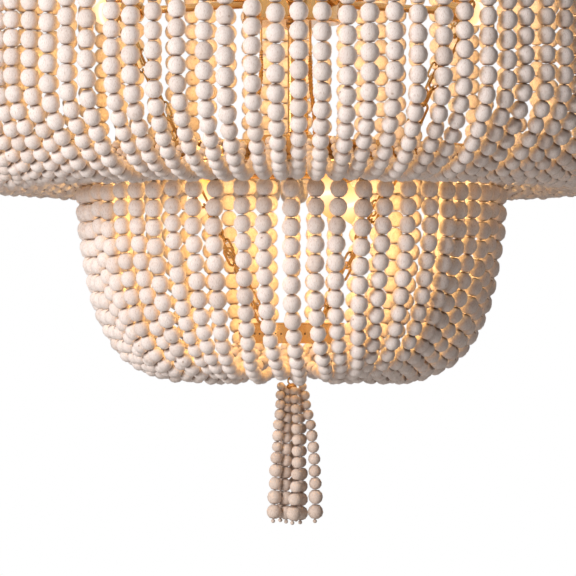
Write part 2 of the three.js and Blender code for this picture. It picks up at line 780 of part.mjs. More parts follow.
// A quarter of the strands on its own slice of rail
function addStrands(name, strand, count, railRadius, railMiddle) {
  const perQuadrant = count / quadrantCount;
  const railEnd = seatGap / 2 / railRadius;
  ['right_back', 'left_back', 'left_front', 'right_front'].forEach((quadrant, q) => {
    const start = (q / quadrantCount) * 2 * Math.PI;
    const end = ((q + 1) / quadrantCount) * 2 * Math.PI;
    const rail = bandSlice(
      railRadius, railHeight, railWidth, start + railEnd, end - railEnd, railFacets / quadrantCount);
    const angles = Array.from({ length: perQuadrant }, (_, i) => start + ((i + 0.5) / count) * 2 * Math.PI);
    addPiece(`${name}_${quadrant}`, join(rail.translate(0, 0, railMiddle), ...fan(strand, angles)), beadWood);
  });
}

function tierPoint(inner, outer, top, drop, [out, down]) {
  return new THREE.Vector2(inner + (outer - inner) * out, top - drop * down);
}

const radial = new THREE.Vector2(1, 0);
const upward = new THREE.Vector2(0, 1);
const downward = new THREE.Vector2(0, -1);

// Hangs straight from the main ring, then curves under and comes up to the middle ring's outside
function makeUpperStrands() {
  const top = mainRailMiddle - railHeight / 2 + weldDepth;
  const innerEnd = midRingRadius + midBandThickness / 2 + seatGap;
  const path = [
    new THREE.Vector2(mainRingRadius, top),
    ...upperRunShares.map((share) => tierPoint(midRingRadius, mainRingRadius, top, upperBellyDepth, share)),
    new THREE.Vector2(innerEnd, midRingHeight),
  ];
  const beads = [upperBeadRadius, upperBeadRadius, ...path.slice(2).map(() => upperCurveBeadRadius)];
  const strand = strandGeometry(path, beads, upperStrandCount, downward);
  addStrands('upper_strands', strand, upperStrandCount, mainRingRadius, mainRailMiddle);
}

// Hangs from the middle ring, narrows to the rounded bottom and turns up to the bottom band
function makeLowerStrands() {
  const top = midRailMiddle - railHeight / 2 + weldDepth;
  const path = [
    new THREE.Vector2(midRingRadius, top),
    ...lowerRunShares.map((share) => tierPoint(bottomBandRadius, midRingRadius, top, lowerBellyDepth, share)),
    new THREE.Vector2(bottomBandRadius, bottomBandBottom - seatGap),
  ];
  const beads = [lowerBeadRadius, lowerBeadRadius, ...path.slice(2).map(() => lowerCurveBeadRadius)];
  const strand = strandGeometry(path, beads, lowerStrandCount, radial.clone().negate());
  addStrands('lower_strands', strand, lowerStrandCount, midRingRadius, midRailMiddle);
}

// Sags from below the crown ring down and out to the inside of the main ring
function makeCrownStrands() {
  const top = crownRailMiddle - railHeight / 2 + weldDepth;
  const start = new THREE.Vector2(crownRingRadius, top);
  const endRadius = flatRadius(mainRingRadius - mainBandThickness / 2, ringFacets) - seatGap;
  const end = new THREE.Vector2(endRadius, mainRingHeight + crownStrandRise);
  const middle = crownRunShares.map((share) => tierPoint(start.x, end.x, start.y, start.y - end.y, share));
  const path = [start, ...middle, end];
  const strand = strandGeometry(path, path.map(() => crownBeadRadius), crownStrandCount, upward);
  addStrands('crown_strands', strand, crownStrandCount, crownRingRadius, crownRailMiddle);
}

// The tassel hangs on two small rings below an eye that is fixed to the cross plate
function makeTassel() {
  const hang = 2 * tasselWireRadius + tasselPlay;
  const eyeTop = crossPlateBottom - seatGap;
  const eyeCentre = eyeTop - eyeRodLength - eyeRadius + tasselWireRadius;
  const ringCentre = eyeCentre - eyeRadius + hang - tasselRingRadius;
  const capEyeCentre = ringCentre - tasselRingRadius + hang - eyeRadius;
  const smallEye = loopWire(ovalPath(eyeRadius, eyeRadius), tasselWireRadius, wireFacets);
  const shank = rod(eyeRodRadius, eyeTop - eyeRodLength, eyeTop, socketFacets);
  addPiece('tassel_eye', join(shank, smallEye.clone().translate(0, 0, eyeCentre)), polishedGold);

  const ring = loopWire(ovalPath(tasselRingRadius, tasselRingRadius), tasselWireRadius, wireFacets);
  addPiece('tassel_ring', ring.rotateZ(Math.PI / 2).translate(0, 0, ringCentre), polishedGold);

  const capTop = capEyeCentre - eyeRadius + tasselWireRadius / 2;
  const capBottom = capTop - tasselCapHeight;
  const cap = turned([
    [0, capBottom],
    [tasselCapRadius, capBottom],
    [tasselCapCrownRadius, capTop],
    [0, capTop],
  ], turnedFacets);
  const strandTop = capBottom + weldDepth;
  const outer = beadedStrand(tasselTopSpread, tasselEndSpread, strandTop);
  const middle = beadedStrand(0, 0, strandTop);
  const capEye = smallEye.clone().translate(0, 0, capEyeCentre);
  addPiece('tassel', join(cap, capEye, middle, ...fan(outer, evenAngles(outerTasselStrands))), beadWood);
}

// Graded beads down one string, each drawn in to a neck, with a small seed bead at the end
function beadedStrand(topSpread, endSpread, top) {
  const sizes = Array.from({ length: tasselBeadCount }, (_, i) => THREE.MathUtils.lerp(
    tasselTopBeadRadius, tasselEndBeadRadius, i / (tasselBeadCount - 1)));
  sizes.push(tasselSeedRadius);
  const length = sizes.reduce((sum, size) => sum + 2 * size, 0);
  const path = [new THREE.Vector2(topSpread, top)];
  const radii = [sizes[0] * tasselNeckShare];
  let run = 0;
  sizes.forEach((size, i) => {
    for (const half of [size, 2 * size]) {
      const spread = THREE.MathUtils.lerp(topSpread, endSpread, (run + half) / length);
      path.push(new THREE.Vector2(spread, top - run - half));
    }
    const nextSize = sizes[Math.min(i + 1, sizes.length - 1)];
    radii.push(size, Math.min(size, nextSize) * tasselNeckShare);
    run += 2 * size;
  });
  return planeTube(path, radii, strandFacets, radial, radial);
}

makeCrossbar();
makeCanopy();
makeSuspensionChain();
makeStemAndCrown();
makeMainRing();
makeUpperLights();
makeDroppers();
makeLowerLights();
makeLowerRings();
makeRingChains();
makeUpperStrands();
makeLowerStrands();
makeCrownStrands();
makeTassel();

export default fixture;
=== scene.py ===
"""Beaded chandelier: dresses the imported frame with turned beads, gold metalwork and lit lamps."""

import math
import random

import bmesh
import bpy
from mathutils import Euler, Matrix, Quaternion, Vector, noise


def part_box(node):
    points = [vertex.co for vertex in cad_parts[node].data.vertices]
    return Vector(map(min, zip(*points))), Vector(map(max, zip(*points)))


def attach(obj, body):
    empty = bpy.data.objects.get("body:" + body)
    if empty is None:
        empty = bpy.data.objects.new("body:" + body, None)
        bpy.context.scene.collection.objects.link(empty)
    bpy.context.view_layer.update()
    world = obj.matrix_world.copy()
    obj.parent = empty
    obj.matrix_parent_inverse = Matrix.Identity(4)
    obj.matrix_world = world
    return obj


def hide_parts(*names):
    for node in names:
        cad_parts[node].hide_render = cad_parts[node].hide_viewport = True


bl_info = {
    "name": "Beaded Chandelier",
    "version": (1, 0, 0),
    "blender": (4, 5, 0),
    "location": "View3D > Sidebar > Chandelier",
    "description": "Strings wooden beads on a gold chandelier frame and lights its candle lamps",
    "category": "Add Mesh",
}

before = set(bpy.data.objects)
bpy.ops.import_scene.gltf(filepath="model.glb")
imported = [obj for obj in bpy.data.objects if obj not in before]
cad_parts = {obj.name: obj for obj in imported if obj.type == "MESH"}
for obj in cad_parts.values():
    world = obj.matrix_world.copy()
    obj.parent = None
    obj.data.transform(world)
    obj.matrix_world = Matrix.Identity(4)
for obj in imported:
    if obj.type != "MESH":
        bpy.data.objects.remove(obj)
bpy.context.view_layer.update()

MM = 0.001
WELD = 1e-6
SMOOTH_ANGLE = math.radians(38)
QUARTERS = ("right_back", "left_back", "left_front", "right_front")

# Camera: distance and heights in metres, picture sides in pixels of the photograph
PICTURE_SIDE = 576
PIXEL_SIZE = 1.04 * MM
CAMERA_DISTANCE = 3.13
CAMERA_HEIGHT = -0.904
AXIS_PIXEL = 291.5
PICTURE_TOP = -0.5813

# Frame, in millimetres: middle radii of the rings, how thick their strips are, the rails that hang
# under them and the room at a seat
MAIN_RADIUS = 400
MIDDLE_RADIUS = 216
BAND_RADIUS = 54
CROWN_RADIUS = 55
MAIN_STRIP = 2.5
CROWN_STRIP = 2
RAIL_WIDTH = 20
RAIL_DEPTH = 4
SEAT_ROOM = 0.3

# Loops and lights, in millimetres, with the directions of the first arm or rod in degrees
LOOP_RADIUS = 12
LOOP_WIRE = 3
STEM_RADIUS = 8
ROD_PLACE = 32
UPPER_FAN_START = -90
LOWER_FAN_START = 172
UPPER_CUP_PLACE = 184
CUP_TO_LAMP = 8
LOWER_DRUM_HEIGHT = 22
LOWER_DRUM_EDGE = 44.4
LOWER_ARM_REACH = 28
LOWER_ARM_BEND = 8
LAMP_TILT = math.radians(18)


def srgb(code):
    """Turns a hex colour such as E6DEDB into linear red, green and blue."""
    parts = [int(code[i : i + 2], 16) / 255 for i in (0, 2, 4)]
    return tuple(c / 12.92 if c <= 0.04045 else ((c + 0.055) / 1.055) ** 2.4 for c in parts)


class ChandelierSizes(bpy.types.PropertyGroup):
    """Sizes of the beads and metalwork."""

    bead: bpy.props.FloatProperty(
        name="Bead", description="Width of a full-size bead", default=18 * MM, min=4 * MM, unit="LENGTH")
    curve_bead: bpy.props.FloatProperty(
        name="Curve bead", description="Width of the beads where a strand turns under",
        default=16 * MM, min=4 * MM, unit="LENGTH")
    end_bead: bpy.props.FloatProperty(
        name="End bead", description="Width of the beads at the bottom band", default=8.5 * MM, min=2 * MM,
        unit="LENGTH")
    crown_bead: bpy.props.FloatProperty(
        name="Crown bead", description="Width of the crown strands' beads", default=14 * MM, min=4 * MM,
        unit="LENGTH")
    upper_strands: bpy.props.IntProperty(
        name="Upper strands", description="Strands round the main ring", default=112, min=4)
    lower_strands: bpy.props.IntProperty(
        name="Lower strands", description="Strands round the middle ring", default=56, min=4)
    crown_strands: bpy.props.IntProperty(
        name="Crown strands", description="Strands from the crown ring to the main ring", default=28, min=4)
    sway: bpy.props.FloatProperty(
        name="Sway", description="How far a strand strays sideways from its even place", default=2.2 * MM,
        min=0, unit="LENGTH")
    band_holes: bpy.props.IntProperty(
        name="Band holes", description="Holes drilled round the bottom band", default=56, min=0)
    metal_edge: bpy.props.FloatProperty(
        name="Metal edge", description="Rounding of the metalwork's edges", default=0.35 * MM, min=0,
        unit="LENGTH")


class ChandelierColours(bpy.types.PropertyGroup):
    """Colours of the finishes."""

    lime: bpy.props.FloatVectorProperty(
        name="Lime wash", description="The white wash on the beads", subtype="COLOR", default=srgb("F5EEEB"),
        min=0, max=1)
    wood: bpy.props.FloatVectorProperty(
        name="Bare wood", description="The wood that shows in grain and cracks", subtype="COLOR",
        default=srgb("AC8870"), min=0, max=1)
    # Painted shade: the brown laid round the string's holes, where neighbouring beads touch
    seam: bpy.props.FloatVectorProperty(
        name="Seam", description="The dusty brown round the string's holes", subtype="COLOR",
        default=srgb("7A5840"), min=0, max=1)
    knot: bpy.props.FloatVectorProperty(
        name="Knot", description="The small knots in the wood", subtype="COLOR", default=srgb("9C7B62"),
        min=0, max=1)
    tassel_wood: bpy.props.FloatVectorProperty(
        name="Tassel wash", description="The thinner wash on the tassel's beads", subtype="COLOR",
        default=srgb("E6D8CE"), min=0, max=1)
    gold: bpy.props.FloatVectorProperty(
        name="Gold", description="Polished gold of the frame", subtype="COLOR", default=srgb("C6A06A"),
        min=0, max=1)
    chain: bpy.props.FloatVectorProperty(
        name="Chain", description="Bright gold of the small chains", subtype="COLOR", default=srgb("BC9860"),
        min=0, max=1)
    glow: bpy.props.FloatVectorProperty(
        name="Glow", description="Colour of the lamps' light", subtype="COLOR", default=srgb("FFCC7C"),
        min=0, max=1)


def sizes():
    return bpy.context.scene.chandelier_sizes


def colours():
    return bpy.context.scene.chandelier_colours


# Materials

NOISE = "ShaderNodeTexNoise"
RAMP = "ShaderNodeValToRGB"
MIX = "ShaderNodeMix"
PRINCIPLED = "ShaderNodeBsdfPrincipled"
MIXED = {"data_type": "RGBA"}
MULTIPLIED = {"data_type": "RGBA", "blend_type": "MULTIPLY", 0: 1.0}


def add_node(tree, kind, settings=None, links=None, stops=()):
    """Adds a node, sets its properties and sockets, links its inputs to (node, output) pairs, and
    lays a ramp's (place, grey or colour) stops."""
    made = tree.nodes.new(kind)
    for name, value in (settings or {}).items():
        if isinstance(name, str) and hasattr(made, name):
            setattr(made, name, value)
        else:
            made.inputs[name].default_value = value
    for name, (source, output) in (links or {}).items():
        tree.links.new(source.outputs[output], made.inputs[name])
    if stops:
        elements = made.color_ramp.elements
        while len(elements) < len(stops):
            elements.new(0.5)
        for element, (place, colour) in zip(elements, stops):
            element.position = place
            rgb = (colour,) * 3 if isinstance(colour, (int, float)) else tuple(colour)
            element.color = (*rgb, 1)
    return made


def new_material(name):
    """A node material with only an output node, and its tree and output."""
    material = bpy.data.materials.new(name)
    material.use_nodes = True
    tree = material.node_tree
    tree.nodes.clear()
    return material, tree, add_node(tree, "ShaderNodeOutputMaterial")


def limed_wood(name, wash):
    """Turned beech beads, lime washed: chalky and matt, with fine turning rings, open grain that
    keeps a little bare wood, a rare knot or crack, and a painted shade of brown round the string's
    holes, where neighbouring beads touch."""
    material, tree, output = new_material(name)
    place = add_node(tree, "ShaderNodeAttribute", {"attribute_name": "bead_place"})
    tone = add_node(tree, "ShaderNodeAttribute", {"attribute_name": "bead_tone"})
    end = add_node(tree, "ShaderNodeAttribute", {"attribute_name": "bead_end"})
    spot = {"Vector": (place, "Vector")}
    # bead_place counts radii of 9 mm. On a full-size bead the patches come out 7 mm wide, the grain
    # 0.6 mm wide and 4 mm long, the turning rings 1.2 mm apart and the knots some 16 mm apart.
    cloud = add_node(tree, NOISE, {"Scale": 1.3, "Detail": 3.0}, spot)
    along = add_node(tree, "ShaderNodeMapping", {"Scale": (9.0, 9.0, 1.4)}, spot)
    grain = add_node(tree, NOISE, {"Scale": 1.6, "Detail": 4.0}, {"Vector": (along, "Vector")})
    rings = add_node(tree, "ShaderNodeTexWave", {
        "bands_direction": "Z", "Scale": 2.4, "Distortion": 2.5, "Detail": 2.0, "Detail Scale": 2.0}, spot)
    flaw = add_node(tree, "ShaderNodeTexVoronoi", {"Scale": 0.55, "feature": "F1"}, spot)
    worn = add_node(tree, RAMP, links={"Fac": (grain, "Fac")}, stops=(
        (0.0, 0.0), (0.5, 0.05), (0.7, 0.5), (1.0, 0.8)))
    washed = add_node(tree, MIX, {**MIXED, 6: (*wash, 1), 7: (*colours().wood, 1)}, {0: (worn, "Color")})
    shade = add_node(tree, RAMP, links={"Fac": (cloud, "Fac")}, stops=((0.0, 0.88), (0.5, 0.98), (1.0, 1.0)))
    patched = add_node(tree, MIX, MULTIPLIED, {6: (washed, 2), 7: (shade, "Color")})
    each = add_node(tree, RAMP, links={"Fac": (tone, "Fac")}, stops=(
        (0.0, (0.86, 0.82, 0.79)), (0.5, (0.97, 0.96, 0.95)), (1.0, 1.0)))
    toned = add_node(tree, MIX, MULTIPLIED, {6: (patched, 2), 7: (each, "Color")})
    knot = add_node(tree, RAMP, links={"Fac": (flaw, "Distance")}, stops=(
        (0.0, 0.8), (0.06, 0.5), (0.1, 0.0), (1.0, 0.0)))
    knotted = add_node(tree, MIX, {**MIXED, 7: (*colours().knot, 1)}, {0: (knot, "Color"), 6: (toned, 2)})
    # Painted shade: the seam colour darkens each bead near the string's holes, where it touches its
    # neighbours
    rim = add_node(tree, RAMP, links={"Fac": (end, "Fac")}, stops=(
        (0.0, 0.0), (0.8, 0.0), (0.9, 0.45), (1.0, 1.0)))
    seam_shaded = add_node(tree, MIX, {**MIXED, 7: (*colours().seam, 1)}, {0: (rim, "Color"), 6: (knotted, 2)})
    relief = add_node(tree, "ShaderNodeMath", {"operation": "MULTIPLY_ADD", 1: 0.35},
                      {0: (rings, "Fac"), 2: (grain, "Fac")})
    bump = add_node(tree, "ShaderNodeBump", {"Strength": 0.35, "Distance": 0.4 * MM}, {"Height": (relief, 0)})
    chalk = add_node(tree, RAMP, links={"Fac": (grain, "Fac")}, stops=((0.0, 0.62), (1.0, 0.86)))
    shader = add_node(tree, PRINCIPLED, {"IOR": 1.5, "Specular IOR Level": 0.35}, {
        "Base Color": (seam_shaded, 2), "Roughness": (chalk, "Color"), "Normal": (bump, "Normal")})
    tree.links.new(shader.outputs[0], output.inputs[0])
    return material


def gold_metal(name, colour, polish, mark):
    """Brass-plated steel: polished, with faint wiping marks and thin tarnish in patches. The mark is
    the size of the marks in metres."""
    material, tree, output = new_material(name)
    place = add_node(tree, "ShaderNodeTexCoord")
    spot = {"Vector": (place, "Object")}
    patch = add_node(tree, NOISE, {"Scale": 0.35 / mark, "Detail": 4.0}, spot)
    wipe = add_node(tree, NOISE, {"Scale": 1.0 / mark, "Detail": 5.0, "Roughness": 0.65}, spot)
    tarnish = add_node(tree, RAMP, links={"Fac": (patch, "Fac")}, stops=(
        (0.0, 0.0), (0.55, 0.1), (0.8, 0.6), (1.0, 1.0)))
    dull = tuple(c * f for c, f in zip(colour, (0.72, 0.62, 0.5)))
    shade = add_node(tree, MIX, {**MIXED, 6: (*colour, 1), 7: (*dull, 1)}, {0: (tarnish, "Color")})
    rough = add_node(tree, RAMP, links={"Fac": (wipe, "Fac")}, stops=(
        (0.0, polish * 0.6), (0.5, polish), (1.0, polish * 1.9)))
    bump = add_node(tree, "ShaderNodeBump", {"Strength": 0.06, "Distance": 0.2 * MM},
                    {"Height": (wipe, "Fac")})
    shader = add_node(tree, PRINCIPLED, {"Metallic": 1.0}, {
        "Base Color": (shade, 2), "Roughness": (rough, "Color"), "Normal": (bump, "Normal")})
    tree.links.new(shader.outputs[0], output.inputs[0])
    return material


def zinc_plate():
    """Zinc-plated steel: a cool grey with soft crystal flakes 4 mm wide."""
    material, tree, output = new_material("zinc_plated_steel")
    place = add_node(tree, "ShaderNodeTexCoord")
    spot = {"Vector": (place, "Object")}
    flakes = add_node(tree, "ShaderNodeTexVoronoi", {"Scale": 260.0}, spot)
    fine = add_node(tree, NOISE, {"Scale": 900.0, "Detail": 3.0}, spot)
    colour = add_node(tree, RAMP, links={"Fac": (flakes, "Color")}, stops=(
        (0.0, srgb("9EA2A6")), (1.0, srgb("C9CCCF"))))
    rough = add_node(tree, RAMP, links={"Fac": (fine, "Fac")}, stops=((0.0, 0.3), (1.0, 0.5)))
    shader = add_node(tree, PRINCIPLED, {"Metallic": 1.0}, {
        "Base Color": (colour, "Color"), "Roughness": (rough, "Color")})
    tree.links.new(shader.outputs[0], output.inputs[0])
    return material


def lit_glass():
    """Frosted candle lamp, lit: near white round its filament and honey coloured at the neck and tip."""
    material, tree, output = new_material("lit_frosted_glass")
    along = add_node(tree, "ShaderNodeAttribute", {"attribute_name": "lamp_along"})
    place = add_node(tree, "ShaderNodeTexCoord")
    frost = add_node(tree, NOISE, {"Scale": 1400.0, "Detail": 2.0}, {"Vector": (place, "Object")})
    heat = add_node(tree, RAMP, links={"Fac": (along, "Fac")}, stops=(
        (0.0, srgb("C08848")), (0.2, srgb("E8C08A")), (0.42, srgb("F8E0BC")), (0.5, srgb("FFFFFF")),
        (0.58, srgb("F8E0BC")), (0.8, srgb("E8C08A")), (1.0, srgb("C89858"))))
    rough = add_node(tree, RAMP, links={"Fac": (frost, "Fac")}, stops=((0.0, 0.25), (1.0, 0.5)))
    shader = add_node(tree, PRINCIPLED, {
        "Base Color": (*srgb("C9A878"), 1), "IOR": 1.5, "Emission Strength": 1.0}, {
        "Emission Color": (heat, "Color"), "Roughness": (rough, "Color")})
    tree.links.new(shader.outputs[0], output.inputs[0])
    return material


def twisted_sleeve():
    """Woven gold-coloured yarn sleeve, laid in three strands: soft, with short bright threads."""
    material, tree, output = new_material("twisted_gold_yarn")
    place = add_node(tree, "ShaderNodeTexCoord")
    # Threads of 0.4 mm, drawn three times as coarse so that they show
    thread = add_node(tree, "ShaderNodeTexWave", {
        "bands_direction": "Z", "Scale": 260.0, "Distortion": 3.0, "Detail": 2.0},
        {"Vector": (place, "Object")})
    colour = add_node(tree, RAMP, links={"Fac": (thread, "Fac")}, stops=(
        (0.0, srgb("8A5A1E")), (0.55, srgb("D39A3C")), (1.0, srgb("F0C877"))))
    bump = add_node(tree, "ShaderNodeBump", {"Strength": 0.5, "Distance": 0.2 * MM},
                    {"Height": (thread, "Fac")})
    shader = add_node(tree, PRINCIPLED, {"Metallic": 0.35, "Roughness": 0.5, "Sheen Weight": 0.3}, {
        "Base Color": (colour, "Color"), "Normal": (bump, "Normal")})
    tree.links.new(shader.outputs[0], output.inputs[0])
    return material


def waxed_string():
    """Dark waxed cotton string, laid in threads of half a millimetre."""
    material, tree, output = new_material("waxed_string")
    place = add_node(tree, "ShaderNodeTexCoord")
    thread = add_node(tree, NOISE, {"Scale": 1800.0, "Detail": 2.0}, {"Vector": (place, "Object")})
    colour = add_node(tree, RAMP, links={"Fac": (thread, "Fac")}, stops=(
        (0.0, srgb("3A2716")), (1.0, srgb("5E432B"))))
    rough = add_node(tree, RAMP, links={"Fac": (thread, "Fac")}, stops=((0.0, 0.55), (1.0, 0.8)))
    shader = add_node(tree, PRINCIPLED, links={
        "Base Color": (colour, "Color"), "Roughness": (rough, "Color")})
    tree.links.new(shader.outputs[0], output.inputs[0])
    return material


MAKERS = {
    "limed_beech": lambda: limed_wood("limed_beech", colours().lime),
    "thin_limed_beech": lambda: limed_wood("thin_limed_beech", colours().tassel_wood),
    "polished_brass_plate": lambda: gold_metal("polished_brass_plate", colours().gold, 0.2, 30 * MM),
    "bright_chain_plate": lambda: gold_metal("bright_chain_plate", colours().chain, 0.14, 6 * MM),
    "zinc_plated_steel": zinc_plate,
    "lit_frosted_glass": lit_glass,
    "twisted_gold_yarn": twisted_sleeve,
    "waxed_string": waxed_string,
}


def finish_of(name):
    """The named material, made on first use."""
    return bpy.data.materials.get(name) or MAKERS[name]()


# Shaping


def height(node, share=0.0):
    """A height in millimetres at a share of the way up a frame node."""
    low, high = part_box(node)
    return (low.z + (high.z - low.z) * share) / MM


def span(node):
    """The lowest and the highest level of a frame node in millimetres."""
    return height(node), height(node, 1)


def only(piece):
    bpy.ops.object.select_all(action="DESELECT")
    piece.select_set(True)
    bpy.context.view_layer.objects.active = piece


def latest(name):
    """The object that the last operator added, with a name of its own."""
    piece = bpy.context.view_layer.objects.active
    piece.name = piece.data.name = name
    return piece


def start_edit(piece):
    only(piece)
    bpy.ops.object.mode_set(mode="EDIT")
    bpy.ops.mesh.select_mode(type="VERT")


def end_edit():
    bpy.ops.object.mode_set(mode="OBJECT")


def pick(piece, test):
    """In edit mode, selects the corners whose place passes a test."""
    shape = bmesh.from_edit_mesh(piece.data)
    for corner in shape.verts:
        corner.select_set(test(corner.co))
    shape.select_flush_mode()
    bmesh.update_edit_mesh(piece.data)


def settle(piece, place=None):
    """Moves a piece's place into its mesh."""
    only(piece)
    if place is not None:
        piece.matrix_world = place @ piece.matrix_world
    bpy.ops.object.transform_apply(location=True, rotation=True, scale=True)
    return piece


def soften(piece, width=None, segments=2):
    """Rounds the sharp edges and shades the rest smooth."""
    only(piece)
    width = sizes().metal_edge if width is None else width
    if width > 0:
        bevel = piece.modifiers.new("edge", "BEVEL")
        bevel.width = width
        bevel.segments = segments
        bevel.limit_method = "ANGLE"
        bevel.angle_limit = SMOOTH_ANGLE
        bpy.ops.object.modifier_apply(modifier=bevel.name)
    bpy.ops.object.shade_smooth_by_angle(angle=SMOOTH_ANGLE)
    return piece


def tidy_mesh():
    """In edit mode, merges doubled corners and turns every face outwards."""
    bpy.ops.mesh.select_all(action="SELECT")
    bpy.ops.mesh.remove_doubles(threshold=WELD)
    bpy.ops.mesh.normals_make_consistent(inside=False)


def turned(name, outline, steps=48, edge=None):
    """Draws an outline of (radius, height) points in millimetres and spins it round the Z axis."""
    bpy.ops.mesh.primitive_plane_add(size=MM)
    piece = latest(name)
    start_edit(piece)
    bpy.ops.mesh.select_all(action="SELECT")
    bpy.ops.mesh.merge(type="CENTER")
    here = Vector((0, 0, 0))
    for i, (radius, level) in enumerate(outline):
        step = Vector((radius, 0, level)) * MM - here
        if i == 0:
            bpy.ops.transform.translate(value=step)
        else:
            bpy.ops.mesh.extrude_region_move(TRANSFORM_OT_translate={"value": step})
        here += step
    bpy.ops.mesh.select_all(action="SELECT")
    bpy.ops.mesh.spin(steps=steps, angle=math.tau, center=(0, 0, 0), axis=(0, 0, 1))
    tidy_mesh()
    end_edit()
    return soften(piece, edge)


def band_outline(radius, low, high, thickness):
    """A flat strip bent into a ring."""
    inner, outer = radius - thickness / 2, radius + thickness / 2
    return [(inner, low), (outer, low), (outer, high), (inner, high), (inner, low)]


def curve_points(points, steps):
    """Points on a smooth curve through the given ones."""
    padded = [points[0] * 2 - points[1], *points, points[-1] * 2 - points[-2]]
    smooth = []
    for a, b, c, d in zip(padded, padded[1:], padded[2:], padded[3:]):
        for i in range(steps):
            t = i / steps
            smooth.append(0.5 * ((2 * b) + (c - a) * t + (2 * a - 5 * b + 4 * c - d) * t**2
                                 + (3 * b - a - 3 * c + d) * t**3))
    smooth.append(points[-1].copy())
    return smooth


def oval_link(name, half_width, half_length, wire, major=32, minor=12):
    """A wire ring in the XZ plane, drawn out along Z. The sizes are of its centre line."""
    bpy.ops.mesh.primitive_torus_add(
        major_segments=major, minor_segments=minor, major_radius=half_width * MM, minor_radius=wire * MM,
        rotation=(math.pi / 2, math.pi / major, 0))
    piece = settle(latest(name))
    stretch = (half_length - half_width) * MM
    if stretch > WELD:
        start_edit(piece)
        for side in (1, -1):
            pick(piece, lambda co, side=side: co.z * side > 0)
            bpy.ops.transform.translate(value=(0, 0, side * stretch))
        end_edit()
    only(piece)
    bpy.ops.object.shade_smooth()
    return piece


def upright_eye(name, radius, wire, level, major=32, minor=12):
    """A round wire ring that stands on edge with its middle at a level."""
    ring = oval_link(name, radius, radius, wire, major, minor)
    return settle(ring, Matrix.Translation((0, 0, level * MM)))


def box_bar(name, low, high, edge=0.6):
    """A bevelled bar between two corners given in millimetres."""
    low, high = Vector(low) * MM, Vector(high) * MM
    bpy.ops.mesh.primitive_cube_add(size=1, location=(low + high) / 2, scale=high - low)
    return soften(settle(latest(name)), edge * MM)


def copies(piece, places):
    """Copies of a piece, each with its own mesh, at the given places."""
    made = []
    for place in places:
        copy = piece.copy()
        copy.data = piece.data.copy()
        copy.matrix_world = place
        bpy.context.scene.collection.objects.link(copy)
        made.append(copy)
    return made


def turns(count, start=0.0):
    """Turns about the Z axis, evenly round, from a start angle in degrees."""
    return [Matrix.Rotation(math.radians(start) + math.tau * i / count, 4, "Z") for i in range(count)]


def joined(name, parts):
    """One object from several."""
    bpy.ops.object.select_all(action="DESELECT")
    for part in parts:
        part.select_set(True)
    bpy.context.view_layer.objects.active = parts[0]
    bpy.ops.object.join()
    return settle(latest(name))


def ring_of(name, piece, places):
    """Joined copies of a piece, which is used up."""
    made = joined(name, copies(piece, places))
    bpy.data.objects.remove(piece)
    return made


def laid_out(piece, tilt, outwards, level):
    """Turns a piece that stands on the origin down by a tilt from +Z towards +X, and moves it out."""
    place = Matrix.Translation(Vector((outwards, 0, level)) * MM)
    return settle(piece, place @ Matrix.Rotation(tilt, 4, "Y"))


def dress(piece, finish, slot, body, *nodes):
    """Gives a piece its material, its body and the frame nodes that it stands for."""
    piece.data.materials.clear()
    piece.data.materials.append(finish_of(finish))
    for face in piece.data.polygons:
        face.material_index = 0
    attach(piece, body)
    if nodes:
        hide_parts(*nodes)
    return piece


def gild(piece, body, *nodes):
    """Dresses a piece as part of the gold frame."""
    return dress(piece, "polished_brass_plate", "polished_gold", body, *nodes)


# Beads


BEAD_SEGMENTS = 12
BEAD_RINGS = 6
BEAD_KINDS = 24
BEAD_FLATTENING = 0.96
KIND_OFFSET = Vector((7.3, 3.1, 5.7))
SWELL_SCALE = 1.1
FULLNESSES = (0.972, 0.986, 1.0, 1.014, 1.03)
BEAD_NOD = 0.05


def turned_beads(finish, unevenness=0.03):
    """A handful of hand-turned beads of radius 1, no two quite alike. Each keeps its own place in
    bead_place, how near the string's holes in bead_end and how pale it is in bead_tone."""
    kinds = []
    for kind in range(BEAD_KINDS):
        bpy.ops.mesh.primitive_uv_sphere_add(segments=BEAD_SEGMENTS, ring_count=BEAD_RINGS, radius=1)
        bead = latest(f"bead_kind_{kind}")
        start_edit(bead)
        pick(bead, lambda co: abs(co.z) > 0.99)
        bpy.ops.transform.resize(value=(1, 1, BEAD_FLATTENING))
        end_edit()
        dice = random.Random(kind)
        # The flat ends come out a radius from the middle or up to 2% more, so that neighbours touch
        squat = dice.uniform(1.0, 1.02) / BEAD_FLATTENING
        for corner in bead.data.vertices:
            swell = 1 + unevenness * noise.noise(corner.co * SWELL_SCALE + Vector((kind, 0, 3)))
            corner.co = Vector((corner.co.x * swell, corner.co.y * swell, corner.co.z * squat))
        bead.data.attributes.new("bead_place", "FLOAT_VECTOR", "POINT")
        bead.data.attributes.new("bead_end", "FLOAT", "POINT")
        bead.data.attributes.new("bead_tone", "FLOAT", "POINT")
        place, end, tone = (bead.data.attributes[name] for name in ("bead_place", "bead_end", "bead_tone"))
        shade = dice.random() ** 0.6
        for i, corner in enumerate(bead.data.vertices):
            place.data[i].vector = corner.co + kind * KIND_OFFSET
            end.data[i].value = min(1.0, abs(corner.co.z))
            tone.data[i].value = shade
        only(bead)
        bpy.ops.object.shade_smooth()
        bead.data.materials.append(finish_of(finish))
        kinds.append(bead)
    return kinds


def put_away(kinds):
    for bead in kinds:
        bpy.data.objects.remove(bead)


def beadwork(name, placed, body, node):
    """Joins (kind, place) beads into the piece that stands for a frame node."""
    piece = joined(name, [copies(kind, [place])[0] for kind, place in placed])
    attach(piece, body)
    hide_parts(node)


